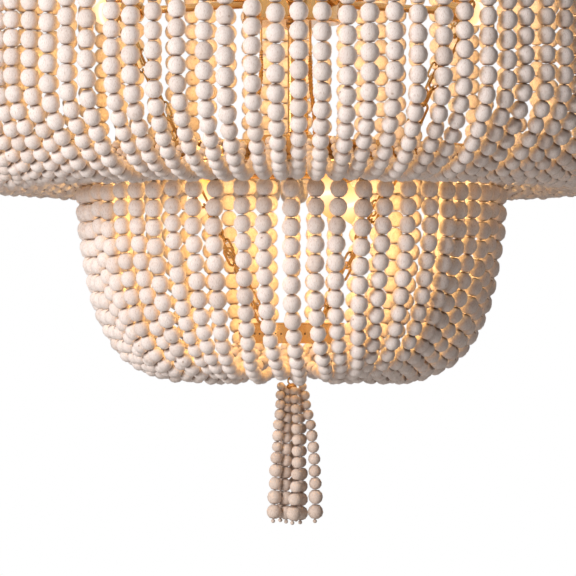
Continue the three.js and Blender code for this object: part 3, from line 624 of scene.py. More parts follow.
def strung(path, width_at, count, fullness, filled):
    """Beads that touch along a curve of (radius, 0, height) points in metres, a little larger or
    smaller by their fullness. A filled string is stretched so that they reach its very end. Where
    neighbouring strands have less room than the beads' width, the bead's stagger says how far it moves
    off the curve. Returns (place, run, width, stagger, share of the way along) for each bead."""
    lengths = [0.0]
    for a, b in zip(path, path[1:]):
        lengths.append(lengths[-1] + (b - a).length)
    total = lengths[-1]

    def at(distance):
        distance = min(max(distance, 0.0), total)
        i = next(k for k in range(1, len(lengths)) if lengths[k] >= distance - WELD)
        share = (distance - lengths[i - 1]) / (lengths[i] - lengths[i - 1])
        return path[i - 1].lerp(path[i], share), (path[i] - path[i - 1]).normalized()

    centres = []
    distance = width_at(0.0) * fullness / 2
    while True:
        width = width_at(distance / total) * fullness
        if distance + width / 2 > total:
            break
        centres.append((distance, width))
        distance += (width + width_at(min(1.0, (distance + width) / total)) * fullness) / 2
    if filled:
        last, width = centres[-1]
        stretch = total / (last + width / 2)
        centres = [(distance * stretch, width * stretch) for distance, width in centres]
    beads = []
    for distance, width in centres:
        place, run = at(distance)
        room = math.tau * place.x / count
        stagger = math.sqrt(max(0.0, width**2 - room**2)) / 2
        beads.append((place, run, width, stagger, distance / total))
    return beads


def hang_strands(tier, kinds, path, width_at, count, seed, turn_share=0.0, strays=(), gathers=(),
                 filled=False):
    """Strings a tier's strands, and joins each quarter into the piece that stands for its node. The
    tier is turned by a share of the step between strands. The strays say how far each of the front
    strands hangs aside, and the gathers how far it drifts aside at its lowest, in steps. Filled
    strands have beads up to their very end."""
    dice = random.Random(seed)
    hangs = [strung(path, width_at, count, fullness, filled) for fullness in FULLNESSES]
    reach = max(point.x for point in path)
    parts = {quarter: [] for quarter in QUARTERS}
    sway = sizes().sway
    step = math.tau / count
    front = count * 3 // 4
    for strand in range(count):
        polar = (strand + 0.5 + turn_share) * step
        lean, drift, bow, belly = (dice.uniform(-1, 1) for _ in range(4))
        lean, drift = lean * sway / reach, drift * sway * 2 / reach
        from_front = strand - front + len(strays) // 2
        if 0 <= from_front < len(strays):
            lean = strays[from_front] * step
            drift = gathers[from_front] * step
        side = 1 if strand % 2 else -1
        for place, run, width, stagger, share in dice.choice(hangs):
            off_curve = Vector((-run.z, 0, run.x))
            spot = place + off_curve * side * stagger
            swing = math.sin(math.pi * share)
            spot.z += belly * sway * 1.6 * swing**3
            spot.x += bow * sway * 0.6 * swing
            # The ends are held, and a strand drifts aside the most four fifths of the way along
            aside = lean * min(1.0, share * 5, (1 - share) * 4)
            aside += drift * math.sin(math.pi * share**3) ** 2
            turn = Quaternion((0, 0, 1), polar + aside)
            aim = turn @ run.to_track_quat("Z", "X")
            nod = Euler((dice.gauss(0, BEAD_NOD), dice.gauss(0, BEAD_NOD), dice.uniform(0, math.tau)))
            girth = width / 2 * dice.uniform(0.985, 1.025)
            size = Vector((girth, girth, width / 2))
            matrix = Matrix.LocRotScale(turn @ spot, aim @ nod.to_quaternion(), size)
            parts[QUARTERS[strand * 4 // count]].append((dice.choice(kinds), matrix))
    for quarter, placed in parts.items():
        beadwork(f"{tier}_beads_{quarter}", placed, "fixture", f"{tier}_strands_{quarter}")


def rail_foot(ring):
    """The height of the underside of the rail under a ring."""
    return height(ring) - SEAT_ROOM - RAIL_DEPTH


def drilled_rail(name, radius, low, steps):
    """The flat ring that a tier's strings are knotted through."""
    outline = band_outline(radius, low, low + RAIL_DEPTH, RAIL_WIDTH)
    return gild(turned(name, outline, steps), "fixture")


def run_points(inner, outer, top, drop, run_shares):
    return [Vector((inner + (outer - inner) * out, 0, top - drop * down)) * MM for out, down in run_shares]


# How far out between the inner and the outer ring, and how far down the drop, a strand runs
UPPER_RUN_SHARES = (
    (1, 0), (1, 0.35), (1, 0.62), (0.989, 0.69), (0.959, 0.755), (0.918, 0.813), (0.85, 0.88),
    (0.761, 0.943), (0.64, 0.985), (0.49, 1.0), (0.33, 0.985), (0.19, 0.95), (0.09, 0.895), (0.035, 0.835))
LOWER_RUN_SHARES = (
    (1, 0), (0.998, 0.143), (0.985, 0.309), (0.945, 0.489), (0.897, 0.649), (0.825, 0.779), (0.73, 0.884),
    (0.61, 0.95), (0.48, 0.985), (0.33, 0.99), (0.18, 0.964), (0.07, 0.905), (0.01, 0.85))
CROWN_RUN_SHARES = ((0, 0), (0.045, 0.2), (0.12, 0.42), (0.27, 0.65), (0.5, 0.82), (0.76, 0.93), (1, 1))

# The drop of the upper tier, how far below the bottom band the lower tier's drop ends, and how high
# above the main ring's middle the crown strands end, in millimetres
UPPER_DROP = 242
LOWER_BELLY = 33
CROWN_END_RISE = 6

# How each tier is turned, as a share of the step between its strands, and how the front strands from
# left to right hang aside and gather at their lowest, in the same steps
UPPER_TURN = -0.23
UPPER_STRAYS = (-0.05, -0.02, 0.14, 0.01, 0.11, 0.06, 0.01, -0.05, 0.0, -0.11, -0.07, -0.07)
UPPER_GATHERS = (0.15, 0.1, 0.0, 0.05, 0.1, 0.1, 0.05, 0.15, 0.2, 0.15, 0.17, 0.1)
LOWER_TURN = 0.46
LOWER_STRAYS = (-0.06, -0.1, -0.15, -0.2, 0.04, -0.11, 0.02, 0.02, -0.12, -0.04, -0.13, 0.0, 0.2, 0.25)
LOWER_GATHERS = (-0.2, -0.3, -0.5, -0.7, -0.5, 0.5, 0.6, 1.5, 1.6, 1.4, 1.1, 0.7, 0.4, 0.2)


def graded(stops):
    """A width that goes evenly from each (share, width) stop to the next."""

    def width_at(share):
        for (s0, w0), (s1, w1) in zip(stops, stops[1:]):
            if share <= s1:
                return w0 + (w1 - w0) * (share - s0) / (s1 - s0)
        return stops[-1][1]

    return width_at


class CHANDELIER_OT_upper_strands(bpy.types.Operator):
    """Hang the large tier's strands from the main ring"""

    bl_idname = "chandelier.upper_strands"
    bl_label = "Upper Strands"

    def execute(self, context):
        own = sizes()
        kinds = turned_beads("limed_beech")
        top = rail_foot("main_ring")
        path = curve_points(run_points(MIDDLE_RADIUS, MAIN_RADIUS, top, UPPER_DROP, UPPER_RUN_SHARES), 12)
        widths = graded([
            (0, own.bead), (0.38, own.bead), (0.5, own.curve_bead * 1.05), (0.73, own.curve_bead * 0.92),
            (0.86, own.curve_bead * 0.76), (0.93, own.end_bead), (1, own.end_bead)])
        hang_strands("upper", kinds, path, widths, own.upper_strands, seed=11, turn_share=UPPER_TURN,
                     strays=UPPER_STRAYS, gathers=UPPER_GATHERS)
        put_away(kinds)
        drilled_rail("main_rail", MAIN_RADIUS, top, 192)
        return {"FINISHED"}


class CHANDELIER_OT_lower_strands(bpy.types.Operator):
    """Hang the small tier's strands from the middle ring"""

    bl_idname = "chandelier.lower_strands"
    bl_label = "Lower Strands"

    def execute(self, context):
        own = sizes()
        kinds = turned_beads("limed_beech")
        top = rail_foot("mid_ring")
        drop = top - height("bottom_band") + LOWER_BELLY
        path = curve_points(run_points(BAND_RADIUS, MIDDLE_RADIUS, top, drop, LOWER_RUN_SHARES), 12)
        widths = graded([
            (0, own.bead), (0.42, own.bead), (0.55, own.curve_bead), (0.75, own.curve_bead * 0.93),
            (0.9, own.curve_bead * 0.72), (1, own.end_bead)])
        hang_strands("lower", kinds, path, widths, own.lower_strands, seed=23, turn_share=LOWER_TURN,
                     strays=LOWER_STRAYS, gathers=LOWER_GATHERS)
        put_away(kinds)
        drilled_rail("middle_rail", MIDDLE_RADIUS, top, 128)
        return {"FINISHED"}


class CHANDELIER_OT_crown_strands(bpy.types.Operator):
    """Hang the crown's strands from the crown ring out to the main ring"""

    bl_idname = "chandelier.crown_strands"
    bl_label = "Crown Strands"

    def execute(self, context):
        own = sizes()
        kinds = turned_beads("limed_beech")
        top = rail_foot("crown_ring")
        drop = top - height("main_ring", 0.5) - CROWN_END_RISE
        # The strands end just short of the inside of the main ring
        end_radius = MAIN_RADIUS - MAIN_STRIP / 2 - 0.25
        path = curve_points(run_points(CROWN_RADIUS, end_radius, top, drop, CROWN_RUN_SHARES), 14)
        hang_strands("crown", kinds, path, lambda share: own.crown_bead, own.crown_strands, seed=37,
                     filled=True)
        put_away(kinds)
        drilled_rail("crown_rail", CROWN_RADIUS, top, 72)
        return {"FINISHED"}


# Operators for the metalwork


class CHANDELIER_OT_ceiling_fittings(bpy.types.Operator):
    """Finish the crossbar and its fittings, and cut the nipple's thread"""

    bl_idname = "chandelier.ceiling_fittings"
    bl_label = "Ceiling Fittings"

    def execute(self, context):
        for name in ("ceiling_crossbar", "crossbar_stirrup", "nipple_locknut"):
            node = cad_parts[name]
            node.data.materials.clear()
            node.data.materials.append(finish_of("zinc_plated_steel"))
        low, high = span("threaded_nipple")
        bore, crest, root, pitch = 3.2, 4.9, 4.3, 1.0
        outline = [(bore, low), (root, low)]
        level = low
        while level + pitch < high:
            outline += [(crest, level + pitch / 2), (root, level + pitch)]
            level += pitch
        outline += [(root, high), (bore, high), (bore, low)]
        nipple = turned("threaded_nipple_rod", outline, 24, 0)
        dress(nipple, "zinc_plated_steel", "zinc_steel", "ceiling_mount", "threaded_nipple")
        return {"FINISHED"}


class CHANDELIER_OT_canopy(bpy.types.Operator):
    """Spin the canopy, and make its loop and the knurled collar under it"""

    bl_idname = "chandelier.canopy"
    bl_label = "Canopy"

    def execute(self, context):
        rim, depth, wall, brim, nose, bead, shoulder = 65, 32, 1.2, 6, 14.5, 1.6, 5.5
        outline = [(11.4, -depth), (nose, -depth)]
        for i in range(1, 15):
            turn = math.radians(90 - 90 * i / 14)
            out = nose + (rim - bead - nose) * math.cos(turn)
            outline.append((out, -shoulder - (depth - shoulder) * math.sin(turn)))
        outline += [(rim - bead, -4.2), (rim, -3.4), (rim, -1.0), (rim - 0.9, -0.3), (rim - brim, -0.3)]
        dish = turned("canopy_dish", outline, 96, 0)
        only(dish)
        skin = dish.modifiers.new("wall", "SOLIDIFY")
        skin.thickness = wall * MM
        skin.offset = -1 if self.faces_out(dish) else 1
        bpy.ops.object.modifier_apply(modifier=skin.name)
        gild(soften(dish, 0.25 * MM), "ceiling_mount", "canopy")

        low, high = span("canopy_loop")
        shank = turned("loop_shank", [
            (0, high - 21.3), (9, high - 21.3), (12.2, high - 20), (13, high - 18), (13, high - 15.4),
            (11, high - 13.6), (11, high), (5.2, high), (5.2, high - 11.8), (0, high - 11.8)], 48)
        eye = upright_eye("loop_eye", LOOP_RADIUS, LOOP_WIRE, low + LOOP_RADIUS + LOOP_WIRE)
        gild(joined("canopy_hanging_loop", [shank, eye]), "ceiling_mount", "canopy_loop")

        low, high = span("collar_ring")
        grooves, groove_depth = 60, 0.965
        collar = turned("knurled_collar", [
            (11.4, low), (15.6, low), (17, low + 1.4), (17, high - 1.4), (15.6, high), (11.4, high),
            (11.4, low)], grooves * 2, 0)
        start_edit(collar)
        pick(collar, lambda co: co.xy.length > 16.5 * MM
             and round(math.atan2(co.y, co.x) / math.tau * 2 * grooves) % 2 == 0)
        bpy.ops.transform.resize(value=(groove_depth, groove_depth, 1))
        end_edit()
        gild(collar, "collar", "collar_ring")
        return {"FINISHED"}

    @staticmethod
    def faces_out(dish):
        """Whether the open dish's faces point away from the ceiling."""
        lowest = min(dish.data.polygons, key=lambda face: face.center.z)
        return lowest.normal.z < 0


class CHANDELIER_OT_suspension_chain(bpy.types.Operator):
    """Bend the five links of the suspension chain"""

    bl_idname = "chandelier.suspension_chain"
    bl_label = "Suspension Chain"

    def execute(self, context):
        half_width, half_length, wire = 10.75, 17.75, 2.25
        for i in range(5):
            node = f"chain_link_{i + 1}"
            link = oval_link(f"suspension_link_{i + 1}", half_width, half_length, wire, 40, 14)
            turn = Matrix.Rotation(math.pi / 2 if i % 2 == 0 else 0, 4, "Z")
            settle(link, Matrix.Translation((0, 0, height(node, 0.5) * MM)) @ turn)
            gild(link, f"link_{i + 1}", node)
        return {"FINISHED"}


class CHANDELIER_OT_stem_and_crown(bpy.types.Operator):
    """Turn the stem with its top loop, and make the crown ring and its spider"""

    bl_idname = "chandelier.stem_and_crown"
    bl_label = "Stem and Crown"

    def execute(self, context):
        low, high = span("top_loop")
        boss = turned("loop_boss", [
            (0, low), (9.2, low), (9.2, low + 2), (11, low + 3.4), (11, low + 8), (8.6, low + 10.4),
            (8.6, low + 12.4), (7, low + 14), (0, low + 14)], 40)
        eye = upright_eye("boss_eye", LOOP_RADIUS, LOOP_WIRE, high - LOOP_RADIUS - LOOP_WIRE)
        gild(joined("top_hanging_loop", [boss, eye]), "fixture", "top_loop")

        low, high = span("stem")
        middle = height("crown_ring", 0.5)
        wide, waist, neck = STEM_RADIUS, STEM_RADIUS - 0.8, STEM_RADIUS - 1
        stem = turned("turned_stem", [
            (0, low), (wide, low), (wide, middle - 9), (waist, middle - 8), (waist, middle + 8),
            (wide, middle + 9), (wide, high - 9), (neck, high - 8), (neck, high - 3), (wide, high - 2),
            (wide, high), (0, high)], 40)
        gild(stem, "fixture", "stem")

        low, high = span("crown_ring")
        hoop = turned("crown_hoop", band_outline(CROWN_RADIUS, low, high, CROWN_STRIP), 96)
        gild(hoop, "fixture", "crown_ring")
        spider = self.spider("crown_spider_bars", hub_radius=14, thickness=4, width=8,
                             reach=CROWN_RADIUS - 1.6, count=4, level=middle)
        gild(spider, "fixture", "crown_spider")
        return {"FINISHED"}

    @staticmethod
    def spider(name, hub_radius, thickness, width, reach, count, level):
        """A collar round the stem with flat bars out to a ring."""
        half = thickness / 2
        bore = STEM_RADIUS + 0.4
        hub = turned(f"{name}_hub", [
            (bore, level - half), (hub_radius, level - half), (hub_radius, level + half),
            (bore, level + half), (bore, level - half)], 48)
        bar = box_bar(f"{name}_bar", (hub_radius - 1.5, -width / 2, level - half),
                      (reach, width / 2, level + half))
        return joined(name, [hub, ring_of(f"{name}_fan", bar, turns(count))])


class CHANDELIER_OT_main_ring(bpy.types.Operator):
    """Roll the main ring and set its six spokes"""

    bl_idname = "chandelier.main_ring"
    bl_label = "Main Ring"

    def execute(self, context):
        low, high = span("main_ring")
        hoop = turned("main_hoop", band_outline(MAIN_RADIUS, low, high, MAIN_STRIP), 240)
        gild(hoop, "fixture", "main_ring")
        level = height("main_spokes", 0.5)
        spokes = CHANDELIER_OT_stem_and_crown.spider(
            "main_spoke_bars", hub_radius=18, thickness=6, width=12, reach=MAIN_RADIUS - 2.4, count=6,
            level=level)
        gild(spokes, "fixture", "main_spokes")
        return {"FINISHED"}


SOCKET_OUTLINE = (
    (0, 0), (5.6, 0), (6.6, 1), (8.4, 2.2), (10.6, 5), (11.2, 7), (11.2, 18.6), (10.6, 19.2), (10.6, 20.2),
    (11.4, 20.8), (11.4, 21.6), (11, 22), (6.6, 22), (6.6, 7.7), (0, 7.7))


def lower_arm(level):
    """For a lower arm that leaves its drum at a level: where it bends, which way it then points, and
    where it ends in its cup."""
    down = Vector((math.sin(LAMP_TILT), 0, -math.cos(LAMP_TILT)))
    out = LOWER_DRUM_EDGE + LOWER_ARM_REACH + LOWER_ARM_BEND
    elbow = Vector((out, 0, level - LOWER_ARM_BEND * (1 - math.sin(LAMP_TILT))))
    return elbow, down, elbow + down * (LOWER_ARM_BEND - 1)


class CHANDELIER_OT_upper_lights(bpy.types.Operator):
    """Turn the light drum, its arms and cups, and the rods and ferrules below it"""

    bl_idname = "chandelier.upper_lights"
    bl_label = "Upper Lights"

    def execute(self, context):
        level = height("upper_lamp_2", 0.5)
        rise, drum_height, rod_length = 24, 47, 38
        top = level + rise
        low = top - drum_height
        drum = turned("light_drum", [
            (0, low), (46, low), (50.6, low), (51.6, low + 1), (51.6, low + 3), (50.6, low + 4),
            (50, low + 5), (50, top - 12), (48.6, top - 9.6), (40, top - 6), (28, top - 2), (20, top - 0.4),
            (14, top), (0, top)], 96)
        arm = turned("arm_tube", [
            (0, 47), (6.8, 47), (6.8, 53), (5.6, 55), (4.2, 56), (4.2, 177), (5.4, 178), (5.4, 183),
            (4.2, 185), (0, 185)], 24)
        arm = laid_out(arm, math.pi / 2, 0, level)
        cup = laid_out(turned("arm_cup", SOCKET_OUTLINE, 36), math.pi / 2, UPPER_CUP_PLACE, level)
        arms = ring_of("arms", joined("arm", [arm, cup]), turns(6, UPPER_FAN_START))
        gild(joined("upper_light_drum", [drum, arms]), "fixture", "hub_drum")

        foot = low - rod_length
        rod = turned("rod", [
            (0, foot), (2.3, foot), (2.5, foot + 0.8), (1.7, foot + 1.8), (1.7, foot + 2.6),
            (2.4, foot + 3.4), (1.7, foot + 4.2), (1.7, foot + 5), (2.4, foot + 5.8), (1.7, foot + 6.6),
            (1.7, foot + 8), (2.3, foot + 9.2), (2.3, foot + 10.4), (1.3, foot + 11), (1.3, low + 0.5),
            (0, low + 0.5)], 20, 0)
        rod = settle(rod, Matrix.Translation((ROD_PLACE * MM, 0, 0)))
        gild(ring_of("dropper_rods", rod, turns(3, LOWER_FAN_START)), "fixture")
        return {"FINISHED"}


class CHANDELIER_OT_dropper_leads(bpy.types.Operator):
    """Twist the three gold leads between the light hubs"""

    bl_idname = "chandelier.dropper_leads"
    bl_label = "Dropper Leads"

    turn_length: bpy.props.FloatProperty(
        name="Turn length", description="Length of one turn of the twist", default=11 * MM, min=1 * MM,
        unit="LENGTH")

    def execute(self, context):
        low, high = span("dropper_lead_1")
        length = high - low
        yarn_radius, yarn_place, rings, end_shift = 1.35, 1.2, 60, 8
        for lead in range(3):
            bpy.ops.mesh.primitive_cylinder_add(
                vertices=10, radius=yarn_radius * MM, depth=length * MM, location=(yarn_place * MM, 0, 0))
            strand = settle(latest("yarn"))
            start_edit(strand)
            for i in range(1, rings):
                bpy.ops.mesh.select_all(action="SELECT")
                level = (i / rings - 0.5) * length * MM
                bpy.ops.mesh.bisect(plane_co=(0, 0, level), plane_no=(0, 0, 1))
            end_edit()
            cord = ring_of("cord", strand, turns(3))
            only(cord)
            twist = cord.modifiers.new("twist", "SIMPLE_DEFORM")
            twist.deform_method = "TWIST"
            twist.deform_axis = "Z"
            twist.angle = math.tau * length * MM / self.turn_length
            bpy.ops.object.modifier_apply(modifier=twist.name)
            # The lead drops straight at both ends and swings out in an S between them
            for corner in cord.data.vertices:
                down = 0.5 - corner.co.z / (length * MM)
                ease = min(1, max(0, (down - 0.12) / 0.76))
                corner.co.x += (ROD_PLACE + end_shift * ease * ease * (3 - 2 * ease)) * MM
                corner.co.z += (low + length / 2) * MM
            settle(cord, turns(3, LOWER_FAN_START)[lead])
            cord.name = cord.data.name = f"twisted_lead_{lead + 1}"
            only(cord)
            bpy.ops.object.shade_smooth_by_angle(angle=math.radians(60))
            dress(cord, "twisted_gold_yarn", "twisted_lead", "fixture", f"dropper_lead_{lead + 1}")
        return {"FINISHED"}


class CHANDELIER_OT_lower_lights(bpy.types.Operator):
    """Turn the lower stem and hub, and bend its three arms with their cups"""

    bl_idname = "chandelier.lower_lights"
    bl_label = "Lower Lights"

    def execute(self, context):
        low, high = span("lower_stem")
        rod = turned("lower_stem_rod", [
            (0, low), (6, low), (6, low + 3), (4, low + 4.5), (4, high - 4.5), (6, high - 3), (6, high),
            (0, high)], 28)
        gild(rod, "fixture", "lower_stem")
        top = low - SEAT_ROOM
        bottom = top - LOWER_DRUM_HEIGHT
        edge, reach, tube = LOWER_DRUM_EDGE, LOWER_ARM_REACH, 4.2
        hub = turned("lower_drum", [
            (0, bottom), (36, bottom), (edge, bottom + 0.6), (46, bottom + 3), (46, bottom + 17),
            (45, bottom + 19), (45, top), (0, top)], 96)
        level = (top + bottom) / 2
        elbow, down, heel = lower_arm(level)
        route = curve_points([
            Vector((edge - 1, 0, level)), Vector((edge + reach * 0.6, 0, level)),
            Vector((edge + reach + 3, 0, level - 1.2)), elbow, heel + down * 3], 6)
        bpy.ops.mesh.primitive_circle_add(
            vertices=20, radius=tube * MM, fill_type="NGON", location=route[0] * MM,
            rotation=(0, math.pi / 2, 0))
        arm = settle(latest("bent_arm"))
        start_edit(arm)
        bpy.ops.mesh.select_all(action="SELECT")
        heading = Vector((1, 0, 0))
        for here, there in zip(route, route[1:]):
            run = (there - here).normalized()
            lean = math.atan2(-run.z, run.x) - math.atan2(-heading.z, heading.x)
            bpy.ops.mesh.extrude_region_move(TRANSFORM_OT_translate={"value": (there - here) * MM})
            if abs(lean) > 1e-4:
                pick(arm, lambda co, at=there: (co - at * MM).length < (tube + 0.4) * MM)
                self.tilt(arm, there * MM, lean)
            heading = run
        tidy_mesh()
        end_edit()
        soften(arm, 0)
        cup = laid_out(turned("lower_cup", SOCKET_OUTLINE, 36), math.pi - LAMP_TILT, heel.x, heel.z)
        arms = ring_of("lower_arms", joined("lower_arm", [arm, cup]), turns(3, LOWER_FAN_START))
        gild(joined("lower_light_drum", [hub, arms]), "fixture", "lower_hub")
        return {"FINISHED"}

    @staticmethod
    def tilt(arm, centre, angle):
        """Turns the chosen corners about the Y axis through a point."""
        shape = bmesh.from_edit_mesh(arm.data)
        chosen = [corner for corner in shape.verts if corner.select]
        bmesh.ops.rotate(shape, cent=centre, matrix=Matrix.Rotation(angle, 3, "Y"), verts=chosen)
        bmesh.update_edit_mesh(arm.data)


class CHANDELIER_OT_lamps(bpy.types.Operator):
    """Blow the nine candle lamps and light them"""

    bl_idname = "chandelier.lamps"
    bl_label = "Lamps"

    power: bpy.props.FloatProperty(
        name="Power", description="Light of one lamp", default=0.6, min=0, subtype="POWER")

    def execute(self, context):
        seat = Vector((UPPER_CUP_PLACE + CUP_TO_LAMP, 0, height("upper_lamp_2", 0.5)))
        self.fan("upper_lamp", 6, UPPER_FAN_START, seat, math.pi / 2)
        _, down, heel = lower_arm(height("lower_hub", 1) - LOWER_DRUM_HEIGHT / 2)
        self.fan("lower_lamp", 3, LOWER_FAN_START, heel + down * CUP_TO_LAMP, math.pi - LAMP_TILT)
        return {"FINISHED"}

    def fan(self, name, count, start, seat, tilt):
        """Lamps round the stem that stand on a seat in millimetres and are tilted from upright."""
        for i, turn in enumerate(turns(count, start)):
            stand = turn @ Matrix.Translation(seat * MM) @ Matrix.Rotation(tilt, 4, "Y")
            self.lamp(f"{name}_{i + 1}", stand)

    def lamp(self, name, stand):
        """A screw base, its glass and the light inside."""
        thread = [(0, 0.3), (2.2, 0), (3.4, 0.8)]
        crest, root, pitch = 5.6, 4.9, 1.8
        for i in range(6):
            thread += [(crest, 2.0 + i * pitch), (root, 2.0 + (i + 0.5) * pitch)]
        base = turned(f"{name}_base", [*thread, (5.7, 12.8), (5.7, 14.6), (0, 14.6)], 28, 0)
        gild(settle(base, stand), name)
        start, length = 14.3, 46
        profile = (
            (5.7, 0), (6.4, 1.6), (8.6, 6), (11.4, 10.5), (13.3, 15.5), (14, 21), (13.4, 27), (11.3, 32.5),
            (8.4, 37.5), (5.2, 41.6), (2.4, 44.6), (1.0, 45.8), (0, length))
        outline = [(0, start), *((radius, start + up) for radius, up in profile)]
        glass = turned(f"{name}_glass", outline, 36, 0)
        along = glass.data.attributes.new("lamp_along", "FLOAT", "POINT")
        for i, corner in enumerate(glass.data.vertices):
            along.data[i].value = (corner.co.z / MM - start) / length
        settle(glass, stand)
        dress(glass, "lit_frosted_glass", "lamp_glass", name, name)
        glass.visible_shadow = False
        filament = stand @ Vector((0, 0, 36 * MM))
        bpy.ops.object.light_add(type="POINT", location=filament)
        light = bpy.context.view_layer.objects.active
        light.name = f"{name}_light"
        light.data.energy = self.power
        light.data.color = colours().glow
        light.data.shadow_soft_size = 11 * MM
        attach(light, "fixture")


class CHANDELIER_OT_lower_rings(bpy.types.Operator):
    """Roll the middle ring, drill the bottom band and set its cross plate"""

    bl_idname = "chandelier.lower_rings"
    bl_label = "Lower Rings"

    def execute(self, context):
        low, high = span("mid_ring")
        hoop = turned("middle_hoop", band_outline(MIDDLE_RADIUS, low, high, MAIN_STRIP), 160)
        gild(hoop, "fixture", "mid_ring")

        low, high = span("bottom_band")
        hole, hole_height, first_hole = 1.15, (low + high) / 2 - 0.6, 1.6
        inside, outside, lip = BAND_RADIUS - 0.75, BAND_RADIUS + 0.75, BAND_RADIUS + 1.3
        band = turned("drilled_band", [
            (inside, low), (outside, low), (outside, high - 1.6), (lip, high - 1.2), (lip, high - 0.3),
            (lip - 0.5, high), (inside, high), (inside, low)], 112, 0)
        places = turns(sizes().band_holes, first_hole)
        bpy.ops.mesh.primitive_cylinder_add(
            vertices=8, radius=hole * MM, depth=8 * MM, rotation=(0, math.pi / 2, 0),
            location=Vector((BAND_RADIUS, 0, hole_height)) * MM)
        drill = ring_of("drill", settle(latest("drill_bit")), places)
        only(band)
        holes = band.modifiers.new("holes", "BOOLEAN")
        holes.operation = "DIFFERENCE"
        holes.object = drill
        holes.solver = "EXACT"
        bpy.ops.object.modifier_apply(modifier=holes.name)
        bpy.data.objects.remove(drill)
        gild(soften(band, 0), "fixture", "bottom_band")
        bpy.ops.mesh.primitive_uv_sphere_add(
            segments=10, ring_count=6, radius=hole * 1.12 * MM,
            location=Vector((BAND_RADIUS + 0.5, 0, hole_height)) * MM)
        knot = latest("string_knot")
        knot.scale = (0.45, 1, 1)
        knots = ring_of("string_knots", settle(knot), places)
        only(knots)
        bpy.ops.object.shade_smooth()
        dress(knots, "waxed_string", "bead_wood", "fixture")

        low, high = span("bottom_cross_plate")
        reach = BAND_RADIUS - 1.6
        plate = box_bar("cross_plate", (-reach, -7, low), (reach, 7, high), 0.5)
        gild(plate, "fixture", "bottom_cross_plate")
        return {"FINISHED"}


class CHANDELIER_OT_ring_chains(bpy.types.Operator):
    """Link the eight small chains between the rings"""

    bl_idname = "chandelier.ring_chains"
    bl_label = "Ring Chains"

    set_over: bpy.props.FloatProperty(
        name="Set over", default=40, description="How far the links are turned from lying flat, in degrees")

    def execute(self, context):
        # Each chain leaves five strand steps to a side of the front or the back
        step = 360 / sizes().lower_strands * 5
        angles = (-90 + step, -90 - step, 90 + step, 90 - step)
        wire, half_width, length = 1.3, 4.3, 23.4
        below, above = 2.3, 1.4
        # A chain runs from beside the rail of its upper ring to the top of its lower ring
        spans = (("upper", (386.2, "main_ring"), (MIDDLE_RADIUS, "mid_ring")),
                 ("lower", (203.3, "mid_ring"), (BAND_RADIUS, "bottom_band")))
        for tier, (start_radius, start_ring), (end_radius, end_ring) in spans:
            top = Vector((start_radius, 0, height(start_ring) - below))
            end = Vector((end_radius, 0, height(end_ring, 1) + above))
            run = (end - top).normalized()
            count = 2 * round(((end - top).length / (length - 2 * wire) - 1) / 2) + 1
            pitch = ((end - top).length - 2 * wire) / count
            aim = run.to_track_quat("-Z", "Y").to_matrix().to_4x4()
            parts = []
            for i in range(count):
                link = oval_link("small_link", half_width, pitch / 2 + wire, wire, 20, 8)
                middle = top + run * (wire + (i + 0.5) * pitch)
                spin = Matrix.Rotation(math.radians(self.set_over + 90 * (i % 2)), 4, "Z")
                parts.append(settle(link, Matrix.Translation(middle * MM) @ aim @ spin))
            chain = joined(f"{tier}_chain", parts)
            for i, angle in enumerate(angles):
                copy = copies(chain, [Matrix.Rotation(math.radians(angle), 4, "Z")])[0]
                settle(copy)
                copy.name = copy.data.name = f"{tier}_small_chain_{i + 1}"
                dress(copy, "bright_chain_plate", "chain_gold", "fixture", f"{tier}_chain_{i + 1}")
            bpy.data.objects.remove(chain)
        return {"FINISHED"}


